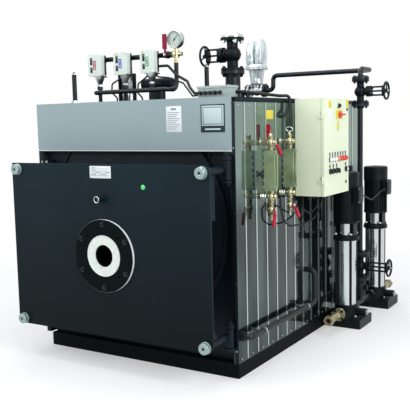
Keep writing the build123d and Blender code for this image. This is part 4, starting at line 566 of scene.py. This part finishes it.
rivets = Piece("panel_screws", "bright", "polished_stainless")
for y in PANEL_MIDDLES:
    for z in (98, 1452):
        rivets.lathe((SIDE_FACE, y, z), X, PANEL_SCREW, 14)
        rivets.lathe((-SIDE_FACE, y, z), -X, PANEL_SCREW, 14)
rivets.done()
Piece("panel_knob", "dark", "front_black").lathe(
    (SIDE_FACE, -636, 1077), X, [(9, 0), (9, 10), (19, 13), (21, 22), (17, 30), (0, 32)], 32).done()
Piece("panel_knob_cap", "bright", "bright_steel").rod((700, -610, 1078), X, 6, 14).rod(
    (SIDE_FACE, -610, 1078), X, 3, 12).done()
Piece("panel_yellow_plate", "yellow", "off_white").side_tile(
    SIDE_FACE, (-545, -460), (1375, 1424), (0, 1.2), 0.3).done()
top_rail = Piece("top_rail_trim", "front", "front_black")
for low, high in ((-SIDE_FACE - 3, -SIDE_FACE), (SIDE_FACE, SIDE_FACE + 3)):
    top_rail.box((low, -900, 1470), (high, 1000, 1493.5), 0.8)
for side in (-1, 1):
    for i in range(38):
        top_rail.lathe(((SIDE_FACE + 3) * side, -880 + 50 * i, 1482), X * side, RAIL_SCREW, 10)
top_rail.done()

# Level gauges
GAUGE_X, GAUGES = 757, {"near": -630, "far": -391}
GAUGE_FACE = GAUGE_X + 30

for tag, gy in GAUGES.items():
    cover = Piece(f"gauge_cover_{tag}", "zinc", "zinc")
    for dy in (-15.5, 15.5):
        cover.side_tile(GAUGE_FACE, (gy + dy - 5, gy + dy + 5), (992, 1201), (-0.5, 4), 0.8)
    for z in ((992, 1008), (1185, 1201)):
        cover.side_tile(GAUGE_FACE, (gy - 20, gy + 20), z, (-0.5, 4), 0.8)
    cover.done()
    Piece(f"gauge_glass_{tag}", "dark", "zinc").side_tile(
        GAUGE_FACE, (gy - 7, gy + 7), (1010, 1183), (-3.5, -1.2), 0.5).done()
    heads = Piece(f"gauge_screws_{tag}", "bright", "bright_steel")
    for i in range(6):
        for dy in (14, -14):
            heads.bolt((GAUGE_X - 30, gy + dy, 1006 + 36.2 * i), -X, 12, 6)
    heads.done()
    brass = Piece(f"gauge_fittings_{tag}", "brass", "brass")
    for z, z_in, z_out in ((1249, 1222, 1233), (955, 974, 963)):
        for x, across in ((698, 36), (742, 34)):
            brass.nut((x, gy, z), X, across, 8)
        brass.rod((GAUGE_X + 12, gy, z), X, 14, 14).nut((GAUGE_X + 28, gy, z), X, 27, 8)
        brass.nut((GAUGE_X, gy, z_in), Z, 36, 12).nut((GAUGE_X, gy, z_out), Z, 31, 8)
    brass.lathe((GAUGE_X, gy, 1277), Z, [(12, 0), (15, 3), (15, 12), (9, 17), (6, 21), (0, 22)], 24)
    for z, across, length in ((928, 33, 13), (908, 29, 12), (862, 27, 12)):
        brass.nut((GAUGE_X, gy, z), Z, across, length)
    brass.rod((GAUGE_X, gy, 936), Z, 14, 8)
    brass.done()
    pale = Piece(f"gauge_unions_{tag}", "bright", "bright_steel")
    for z, length in ((941, 9), (1210, 8), (983, 8)):
        pale.nut((GAUGE_X, gy, z), Z, 34, length)
    pale.nut((706, gy, 1249), X, 33, 6).nut((710, gy, 955), X, 34, 9).nut((724, gy, 955), X, 31, 8)
    pale.rod((GAUGE_X, gy, 826), Z, 9.5, 12)
    pale.done()
ring_pull = Piece("gauge_ring_handle", "bright", "bright_steel")
ring_pull.torus((GAUGE_X, GAUGES["far"], 1316), Vector((0.35, -0.55, 0.75)), 19, 3.0, 36, 8)
ring_pull.rod((GAUGE_X, GAUGES["far"], 1290), Z, 3.4, 14).done()
LEVER_HUBS = {
    "nipple_lever": ((722, -579.8, 1249), Y),
    "top_lever": ((786, GAUGES["near"], 1249), X),
    "near_drain_lever": ((783, GAUGES["near"], 885), X),
    "far_drain_lever": ((783, GAUGES["far"], 885), X),
    "gauge_cock_lever": ((60, -604.8, 1765), -Y),
}
for lever, (place, axis) in LEVER_HUBS.items():
    Piece(f"{lever}_nut", "bright", "bright_steel", lever).bolt(place, axis, 14, 5).done()

# Control cabinet
CABINET_FACE = 915
THIN = (-0.2, 1.2)
LAMPS = [-176 + 41.3 * i for i in range(7)]
SELECTORS = {-176: 0, -124: 0.7, -70: 0.3}    # place along Y and turn of the grip
BUTTON_Y = 76
LAMP_Z, SELECTOR_Z = 1132, 1063
LOCKS = ((98, 1424), (78, 984))


def on_control_door(name, look, slot):
    return Piece(name, look, slot, "control_door")


on_control_door("cabinet_white_plate", "white", "off_white").side_tile(
    CABINET_FACE, (-198, -150), (1362, 1428), THIN, 0.3).done()
yellow = on_control_door("cabinet_yellow_plates", "yellow", "off_white")
for y, z in (((-196, -152), (1432, 1472)), ((-66, -36), (1300, 1352)), ((82, 122), (1440, 1484))):
    yellow.side_tile(CABINET_FACE, y, z, THIN, 0.3)
yellow.done()
on_control_door("main_switch_plate", "yellow", "off_white").side_tile(
    CABINET_FACE, (-80, 17), (1367, 1419), (-0.2, 3), 1.0).done()
on_control_door("main_switch_tag", "tag_green", "off_white").side_tile(
    CABINET_FACE, (-62, -46), (1430, 1440), THIN, 0.3).done()
bezels = on_control_door("selector_bezels", "dark", "front_black")
for y in LAMPS:
    bezels.side_tile(CABINET_FACE, (y - 11, y + 5), (1152, 1174), (-0.2, 1.6), 0.4)
    bezels.lathe((CABINET_FACE, y, LAMP_Z), X, [(15.5, 0), (16.5, 1.5), (16.5, 4), (14, 6)], 32)
for y in (*SELECTORS, BUTTON_Y):
    bezels.side_tile(CABINET_FACE, (y - 11, y + 5), (1084, 1104), (-0.2, 1.6), 0.4)
    bezels.lathe((CABINET_FACE, y, SELECTOR_Z), X, [
        (17, 0), (17.5, 2), (17.5, 5), (14, 8), (14, 14), (12, 15), (0, 15)], 32)
bezels.lathe((CABINET_FACE, -35, 1446), X, [(14, 0), (14.5, 2), (14.5, 5), (10, 8), (10, 13), (0, 14)], 32)
for y, z in LOCKS:
    bezels.lathe((CABINET_FACE, y, z), X, [(10, 0), (10, 3), (8, 4.5), (0, 4.5)], 24)
bezels.done()
grips = on_control_door("selector_grips", "dark", "front_black")
for y, turn in SELECTORS.items():
    grips.box((CABINET_FACE + 12, y - 4, SELECTOR_Z - 14), (CABINET_FACE + 24, y + 4, SELECTOR_Z + 14),
              1.2, Matrix.Rotation(turn, 4, "X"))
grips.done()
marks = on_control_door("selector_labels", "white", "off_white")
for y in LAMPS:
    marks.side_tile(CABINET_FACE, (y + 6, y + 17), (1152, 1174), (-0.2, 1.5), 0.3)
for y in (*SELECTORS, BUTTON_Y):
    marks.side_tile(CABINET_FACE, (y + 6, y + 17), (1084, 1104), (-0.2, 1.5), 0.3)
marks.rod((CABINET_FACE + 13, BUTTON_Y, SELECTOR_Z), X, 11, 3)
marks.side_tile(CABINET_FACE, (-16, 2), (1438, 1456), (-0.2, 1.5), 0.3)
marks.done()
for look, slot, chosen in (("white", "off_white", LAMPS[:3]), ("orange", "switch_red", LAMPS[3:4]),
                           ("signal_red", "switch_red", LAMPS[4:])):
    lamps = on_control_door(f"lamps_{look}", look, slot)
    for y in chosen:
        lamps.lathe((CABINET_FACE + 4, y, LAMP_Z), X, [
            (13.5, 0), (13.5, 7), (11, 10.5), (5, 12.5), (0, 13)], 32)
    lamps.done()
Piece("main_switch_collar", "signal_red", "switch_red", "switch_grip").torus(
    (CABINET_FACE + 8, -31, 1393), X, 19, 2.6, 40, 8).done()
glands = Piece("cabinet_glands", "dark", "front_black")
for y in (-190, -130, -70, -10, 50):
    glands.nut((790, y, 917), Z, 32, 12).rod((790, y, 896), Z, 11, 18)
glands.done()
slots = on_control_door("cabinet_lock_slots", "bright", "bright_steel")
for y, z in LOCKS:
    slots.side_tile(CABINET_FACE, (y - 5, y + 5), (z - 1.2, z + 1.2), (4, 5.4), 0.2)
slots.done()

# Pressure switches and gauge
COVER_FACE, SWITCH_Y = -650, -602
SWITCH_MARKS = {-437: "tag_red", -237: "blue", -37: "tag_green"}
MARK_X, MARK_Z, MARK_WIDTH = (-10, 12), (1700, 1756), 6
MARK_AHEAD = (-0.5, 0.7)
DIAL = Vector((117, -580.8, 1850))

for index, (x, tag) in enumerate(SWITCH_MARKS.items()):
    panes = Piece(f"switch_windows_{index}", "dark", "front_black")
    for z in ((1731, 1775), (1684, 1718)):
        panes.front_tile(COVER_FACE, (x - 33, x - 15), z, (-1, 0.8), 0.5)
    panes.done()
    outline = Piece(f"switch_tag_{index}", tag, "switch_red")
    left, right = x + MARK_X[0], x + MARK_X[1]
    foot, top = MARK_Z
    for span in ((left, left + MARK_WIDTH), (right - MARK_WIDTH, right)):
        outline.front_tile(COVER_FACE, span, MARK_Z, MARK_AHEAD)
    for span in ((top - MARK_WIDTH, top), (foot, foot + MARK_WIDTH)):
        outline.front_tile(COVER_FACE, (left + MARK_WIDTH, right - MARK_WIDTH), span, MARK_AHEAD)
    outline.front_tile(COVER_FACE, (x - 1, x + 3), (1714, 1742), MARK_AHEAD).done()
    screws = Piece(f"switch_screws_{index}", "bright", "bright_steel")
    for dx in (-42, 42):
        for z in (1670, 1787):
            screws.lathe((x + dx, COVER_FACE, z), -Y, COVER_SCREW, 16)
    screws.done()
    if index:
        Piece(f"switch_yellow_{index}", "yellow", "off_white").lathe(
            (x - 25, COVER_FACE + 0.4, 1784), -Y, [(6, 0), (6, 1.0), (5.4, 1.4)], 24).done()
    back = Piece(f"switch_back_{index}", "dark", "front_black")
    back.box((x - 46, -613, 1668), (x + 46, -589.4, 1789), 2).done()
    fit = Piece(f"switch_fitting_{index}", "galvanised" if index == 1 else "bright", "bright_steel")
    fit.lathe((x, SWITCH_Y, 1612), Z, [(13, 0), (15, 4), (20, 16), (28, 36), (30, 50)], 32)
    fit.nut((x, SWITCH_Y, 1606), Z, 34, 13).done()
    Piece(f"switch_coupling_{index}", "black", "pipe_black").nut((x, SWITCH_Y, 1590), Z, 38, 18).rod(
        (x, SWITCH_Y, 1492), Z, 14.5, 12).done()
    Piece(f"switch_gland_{index}", "dark", "front_black").nut((x + 44, SWITCH_Y, 1658), Z, 24, 9).done()
web = Piece("channel_web", "galvanised", "front_black")
web.box((-313, -545.5, 1557), (-210, -543.8, 1668), 0.4)
for low, high in ((-313, -298), (-272, -254), (-228, -210)):
    web.box((low, -545.5, 1496), (high, -543.8, 1557), 0.3)
web.done()
MANIFOLD_Y, MANIFOLD_Z = -570, 1765
pipe = Piece("manifold_fittings", "black", "pipe_black")
for x in SWITCH_MARKS:
    pipe.rod((x - 24, MANIFOLD_Y, MANIFOLD_Z), X, 20.5, 48).rod((x, -588, MANIFOLD_Z), Y, 16, 18)
pipe.rod((34, MANIFOLD_Y, MANIFOLD_Z), X, 18, 12).rod((74, MANIFOLD_Y, MANIFOLD_Z), X, 18, 10).done()
Piece("gauge_dial", "dial", "off_white").lathe(DIAL, -Y, [(45.8, 0), (45.8, 0.8)], 64).done()
ticks = Piece("gauge_marks", "dark", "front_black")
for i in range(33):
    a = math.radians(225 - 270 * i / 32)
    reach = 6.5 if i % 4 == 0 else 3.2
    out = Vector((math.cos(a), 0, math.sin(a)))
    mid = Vector((DIAL.x, -582.1, DIAL.z)) + out * (41 - reach / 2)
    half = Vector((reach / 2, 0.4, 0.55))
    ticks.box(mid - half, mid + half, 0, Matrix.Rotation(-a, 4, "Y"))
a = math.radians(48)
mid = Vector((DIAL.x, -583.4, DIAL.z)) + Vector((math.cos(a), 0, math.sin(a))) * 10
half = Vector((27, 0.5, 1.1))
ticks.box(mid - half, mid + half, 0, Matrix.Rotation(-a, 4, "Y"))
ticks.lathe((DIAL.x, -581.5, DIAL.z), -Y, [(5, 0), (5, 3.4), (0, 3.8)], 24).done()
Piece("gauge_bezel", "bright", "bright_steel").lathe(
    (DIAL.x, -586, DIAL.z), -Y, [(45.5, -4), (51.4, -3), (52, 1), (49, 3.6), (46, 2.6), (45, 0)],
    72, closed=True).done()
fittings = Piece("gauge_fittings", "brass", "brass")
fittings.nut((DIAL.x, MANIFOLD_Y, 1791), Z, 30, 10).nut((DIAL.x, MANIFOLD_Y, 1722), Z, 30, 14)
fittings.rod((DIAL.x, MANIFOLD_Y, 1708), Z, 11, 12)
fittings.nut((94, MANIFOLD_Y, MANIFOLD_Z), X, 34, 10)
fittings.lathe((136, MANIFOLD_Y, MANIFOLD_Z), X, [
    (13, 0), (13, 6), (9, 9), (9, 16), (12, 18), (12, 24), (8, 26), (0, 26)], 28)
fittings.lathe((DIAL.x, -590, MANIFOLD_Z), -Y, [(14, 0), (14, 4), (8, 7), (0, 7)], 24).done()

# Top fittings
ROOF = 1492
PROBES = ((-507, -760, 1670), (178, -330, 1700))
STEAM_X, STEAM_Y, STEAM_Z = 316, -250, 1771
FEED_X, FEED_Y = 820, 600
VALVE_HEIGHTS = (1547, 356)
CONTROL_X, CONTROL_Y = -70, 800

tips = Piece("probe_trim", "bright", "bright_steel")
for x, y, top in PROBES:
    tips.lathe((x, y, ROOF), Z, [(30.6, 0), (30.6, 4), (15, 22), (14.4, 22)], 40)
    tips.rod((x, y, top), Z, 8.6, 8).nut((x, y, top + 11), Z, 17, 7)
tips.done()
lid = Piece("junction_lid_screws", "bright", "bright_steel")
for x in (448, 622):
    for y in (-842, -768):
        lid.lathe((x, y, 1556), Z, LID_SCREW, 14)
lid.done()
plugs = Piece("junction_glands", "dark", "front_black")
for i in range(5):
    plugs.nut((456 + 30 * i, -854, 1520), Y, 24, 8).rod((456 + 30 * i, -858, 1520), -Y, 8.5, 12)
plugs.done()


def flange_bolts(name, centre, faces, radius, across, look="cast", slot="valve_blue"):
    """Four bolts through each pair of flanges. faces gives the pipe's axis and its outer faces."""
    made = Piece(name, look, slot)
    for axis, low, high in faces:
        for spot in around(centre, axis, radius, 4, EIGHTH_TURN):
            made.bolt(spot + axis * high, axis, across, across * 0.42)
            made.bolt(spot + axis * low, -axis, across, across * 0.42)
            made.rod(spot + axis * (low - across * 0.75), axis, across * 0.3, across * 0.8, 14)
    made.done()


flange_bolts("steam_bolts", (STEAM_X, STEAM_Y, 0), [(Z, 1654, 1688)], 55, 25)
flange_bolts("cover_bolts", (STEAM_X, STEAM_Y, 0), [(Z, 1854, 1883)], 55, 25, "bright", "bright_steel")
Piece("cover_boss", "bright", "bright_steel").lathe(
    (STEAM_X, STEAM_Y, 1893), Z, [(24, 0), (24, 3), (16, 7), (0, 8)], 36).done()
bonnet = Piece("bonnet_bolts", "cast", "valve_blue")
for spot in around((230, STEAM_Y, STEAM_Z), -X, 38.5, 4, EIGHTH_TURN):
    bonnet.bolt(spot, -X, 17, 8)
for z in VALVE_HEIGHTS:
    for spot in around((894, FEED_Y, z), X, 29, 4, EIGHTH_TURN):
        bonnet.bolt(spot, X, 13, 7)
bonnet.done()
collars = Piece("valve_body_rings", "cast", "valve_blue")
collars.torus((STEAM_X, STEAM_Y, STEAM_Z), Z, 50, 4.5, 56)
collars.lathe((262, STEAM_Y, STEAM_Z), -X, [(40, 0), (46, 3), (46, 14), (44, 16)], 44)
for z in VALVE_HEIGHTS:
    collars.torus((FEED_X, FEED_Y, z), Z, 38.5, 3.6, 48)
    collars.lathe((862, FEED_Y, z), X, [(30, 0), (36, 2), (36, 11), (34, 13)], 40)
collars.done()
flange_bolts("feed_bolts", (FEED_X, FEED_Y, 0), [
    (Z, 1448.5, 1480.5), (Z, 1613.5, 1645.5), (Z, 257.5, 289.5), (Z, 422.5, 454.5)], 42.5, 18)
flange_bolts("control_bolts", (0, CONTROL_Y, 1594), [(X, -19, 9), (X, -149, -121)], 38, 16)
Piece("wheel_hub_nuts", "bright", "bright_steel", "steam_wheel").bolt(
    (111, STEAM_Y, STEAM_Z), -X, 15, 6).done()
for wheel, x, z in (("feed_wheel", 1007, VALVE_HEIGHTS[0]), ("pump_wheel", 1032, VALVE_HEIGHTS[1])):
    Piece(f"{wheel}_nut", "bright", "bright_steel", wheel).bolt((x, FEED_Y, z), X, 15, 6).done()

# Actuator in its creased film, as (height, share of the width) pairs
LOBE = [(1786, 0.80), (1793, 0.95), (1812, 1.0), (1860, 1.02), (1905, 0.98), (1938, 0.88),
        (1958, 0.74), (1970, 0.54), (1976, 0.3), (1977.5, 0.1)]
WAIST = [(1752, 0.90), (1757, 0.99), (1770, 1.0), (1784, 0.98), (1791, 0.86)]
NECK = [(1634, 0.72), (1644, 0.92), (1690, 0.96), (1728, 1.06), (1753, 1.16)]
BAND = [(1749, 0.98), (1751, 1.0), (1757, 1.0), (1759, 0.98)]

wrap = Piece("actuator_wrap", "foil", "valve_silver")
for dx in (-37.5, 37.5):
    wrap.loft((CONTROL_X + dx, CONTROL_Y), 36, 59, 2.7, LOBE, 2.6)
wrap.loft((CONTROL_X, CONTROL_Y), 74, 59, 5, WAIST, 1.2, 10)
wrap.loft((CONTROL_X, CONTROL_Y), 50, 46, 2.6, NECK, 4.5, 22)
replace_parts(wrap.done(60), "valve_actuator")
bands = Piece("actuator_bands", "galvanised", "valve_silver")
bands.loft((CONTROL_X, CONTROL_Y), 75.5, 60.5, 5, BAND, 0, 4)
bands.rod((CONTROL_X, CONTROL_Y, 1622), Z, 31, 14).done()

# Pumps
PUMP_X, PUMPS = 820, {"near": 335, "far": 920}
PORT_Z, PORT_REACH, PORT_FLANGE = 104, 125, 16
MOTOR_TOP, JUNCTION_Z = 1025, 862

for tag, py in PUMPS.items():
    side = 1 if tag == "near" else -1
    caps = Piece(f"pump_caps_{tag}", "white", "off_white")
    for spot in around((PUMP_X, py, 618), Z, 73, 4, EIGHTH_TURN):
        caps.lathe(spot, Z, [(9, 0), (9, 5), (6, 8), (0, 9)], 20)
    caps.done()
    bands = Piece(f"pump_bands_{tag}", "stainless", "polished_stainless")
    for z in (152, 566):
        bands.lathe((PUMP_X, py, z), Z, [(64, 0), (66.5, 1.5), (66.5, 10.5), (64, 12)], 72)
    bands.done()
    ribs = Piece(f"pump_head_ribs_{tag}", "cast", "pump_black")
    ribs.lathe((PUMP_X, py, 604), Z, [(60, 0), (56, 8), (50, 10), (48, 10)], 56)
    ribs.lathe((PUMP_X, py, MOTOR_TOP), Z, [(30, -1), (30, 2), (26, 3), (0, 3)], 40)
    for k in range(3):
        ribs.torus((PUMP_X, py, MOTOR_TOP - 16 - 9 * k), Z, 83.6, 1.6, 64, 6)
    ribs.box((923, py - 61, 828), (926.5, py + 31, 926), 1.0)
    ribs.done()
    heads = Piece(f"pump_screws_{tag}", "bright", "bright_steel")
    for dy in (-55, 25):
        for z in (834, 920):
            heads.lathe((926, py + dy, z), X, RAIL_SCREW, 14)
    for spot in around((PUMP_X, py, MOTOR_TOP + 1.5), Z, 21, 4, 0.4):
        heads.lathe(spot, Z, FAN_SCREW, 12)
    heads.done()
    gland = Piece(f"pump_glands_{tag}", "dark", "front_black")
    gland.nut((905, py - 15 + 52 * side, JUNCTION_Z), Y, 26, 9)
    gland.rod((905, py - 15 + 56 * side, JUNCTION_Z), Y * side, 8.5, 10).done()
    ports = [(Y, y - PORT_FLANGE, y + PORT_FLANGE) for y in (py - PORT_REACH, py + PORT_REACH)]
    flange_bolts(f"pump_bolts_{tag}", (PUMP_X, 0, PORT_Z), ports, 34, 14, "cast", "pump_black")
    feet = Piece(f"pump_feet_{tag}", "bright", "bright_steel")
    for dx in (-80, 80):
        for dy in (-46, 46):
            feet.bolt((PUMP_X + dx, py + dy, 78), Z, 16, 8)
    feet.bolt((960, py, PORT_Z), X, 26, 9)
    feet.done()
Piece("union_rings", "union", "brass").nut((PUMP_X, 150, PORT_Z), Y, 56, 18).nut(
    (PUMP_X, 1105, PORT_Z), Y, 58, 18).done()
valve = Piece("check_valve_trim", "cast", "pipe_black")
for z in (152, 258):
    valve.nut((FEED_X, FEED_Y, z), Z, 64, 14)
valve.rod((FEED_X, FEED_Y, 205), X, 20, 46).nut((868, FEED_Y, 205), X, 34, 12).done()
clips = Piece("pipe_clips", "galvanised", "galvanised")
for y in (-700, -120):
    clips.lathe((740, y - 7, 222), Y, [(17.2, 0), (20, 0), (20, 14), (17.2, 14)], 28, closed=True)
    clips.rod((SIDE_FACE, y, 222), X, 7, 32)
clips.done()

# Stage, light and camera, in metres
FLOOR_SIZE, FLOOR_DROP = 30, 0.0015
FLOOR_GLOW_REACH, FLOOR_GLOW = (1.6, 3.4), (0.35, 1.0)

floor_mesh = bpy.data.meshes.new("floor")
floor_bm = bmesh.new()
bmesh.ops.create_grid(floor_bm, x_segments=1, y_segments=1, size=FLOOR_SIZE)
floor_bm.to_mesh(floor_mesh)
floor_bm.free()
floor = bpy.data.objects.new("floor", floor_mesh)
floor.location = (0, 0, -FLOOR_DROP)
bpy.context.scene.collection.objects.link(floor)
made, tree, shader = new_material("floor_pale")
shader.inputs["Base Color"].default_value = (0.86, 0.87, 0.88, 1)
shader.inputs["Roughness"].default_value = 0.9
shader.inputs["Specular IOR Level"].default_value = 0.1
glow = tree.nodes.new("ShaderNodeEmission")
glow.inputs["Color"].default_value = (1, 1, 1, 1)
away = tree.nodes.new("ShaderNodeVectorMath")
away.operation = "LENGTH"
tree.links.new(tree.nodes.new("ShaderNodeTexCoord").outputs["Object"], away.inputs[0])
mixer = tree.nodes.new("ShaderNodeMixShader")
tree.links.new(remap(tree, away.outputs["Value"], FLOOR_GLOW_REACH, FLOOR_GLOW), mixer.inputs["Fac"])
tree.links.new(shader.outputs["BSDF"], mixer.inputs[1])
tree.links.new(glow.outputs["Emission"], mixer.inputs[2])
tree.links.new(mixer.outputs["Shader"], tree.nodes["Material Output"].inputs["Surface"])
floor_mesh.materials.append(made)

world = bpy.data.worlds.new("studio")
world.use_nodes = True
bpy.context.scene.world = world
tree = world.node_tree
plain = tree.nodes["Background"]
plain.inputs["Color"].default_value = (0.92, 0.96, 1.0, 1)
plain.inputs["Strength"].default_value = 0.45
seen = tree.nodes.new("ShaderNodeBackground")
seen.inputs["Color"].default_value = (1, 1, 1, 1)
seen.inputs["Strength"].default_value = 1.0
rays = tree.nodes.new("ShaderNodeLightPath")
shown = rays.outputs["Is Camera Ray"]
for ray in ("Is Glossy Ray", "Is Transmission Ray"):
    shown = math_node(tree, "MAXIMUM", shown, rays.outputs[ray]).outputs["Value"]
mixer = tree.nodes.new("ShaderNodeMixShader")
tree.links.new(shown, mixer.inputs["Fac"])
tree.links.new(plain.outputs["Background"], mixer.inputs[1])
tree.links.new(seen.outputs["Background"], mixer.inputs[2])
tree.links.new(mixer.outputs["Shader"], tree.nodes["World Output"].inputs["Surface"])


def lamp(name, place, target, size, power):
    data = bpy.data.lights.new(name, "AREA")
    data.shape = "RECTANGLE"
    data.size, data.size_y = size
    data.energy = power
    made = bpy.data.objects.new(name, data)
    made.location = place
    made.rotation_euler = (Vector(target) - Vector(place)).to_track_quat("-Z", "Y").to_euler()
    bpy.context.scene.collection.objects.link(made)


lamp("key", (-2.2, -4.6, 3.6), (0, -0.6, 0.9), (2.6, 2.0), 112)
lamp("side", (4.6, -2.2, 3.0), (0.6, 0, 0.9), (2.2, 2.4), 165)
lamp("overhead", (0.4, -0.4, 4.6), (0, 0, 0), (3.4, 3.4), 130)
lamp("back", (-3.0, 4.0, 3.2), (0, 0.5, 1.0), (2.4, 2.0), 70)

CAMERA_PLACE = (2.5348, -4.1748, 1.368)
CAMERA_RIGHT = Vector((0.85042503, 0.5256257, -0.02224622))
CAMERA_DOWN = Vector((0.04086409, -0.10815468, -0.99329386))
CAMERA_AHEAD = Vector((-0.52450682, 0.84381288, -0.11345667))
camera_data = bpy.data.cameras.new("camera")
camera_data.lens = 63.948
camera_data.sensor_width = 36
camera_data.sensor_fit = "HORIZONTAL"
camera = bpy.data.objects.new("camera", camera_data)
turned = Matrix((CAMERA_RIGHT, -CAMERA_DOWN, -CAMERA_AHEAD)).transposed().to_4x4()
camera.matrix_world = Matrix.Translation(CAMERA_PLACE) @ turned
bpy.context.scene.collection.objects.link(camera)
bpy.context.scene.camera = camera
bpy.context.scene.view_settings.view_transform = "Standard"
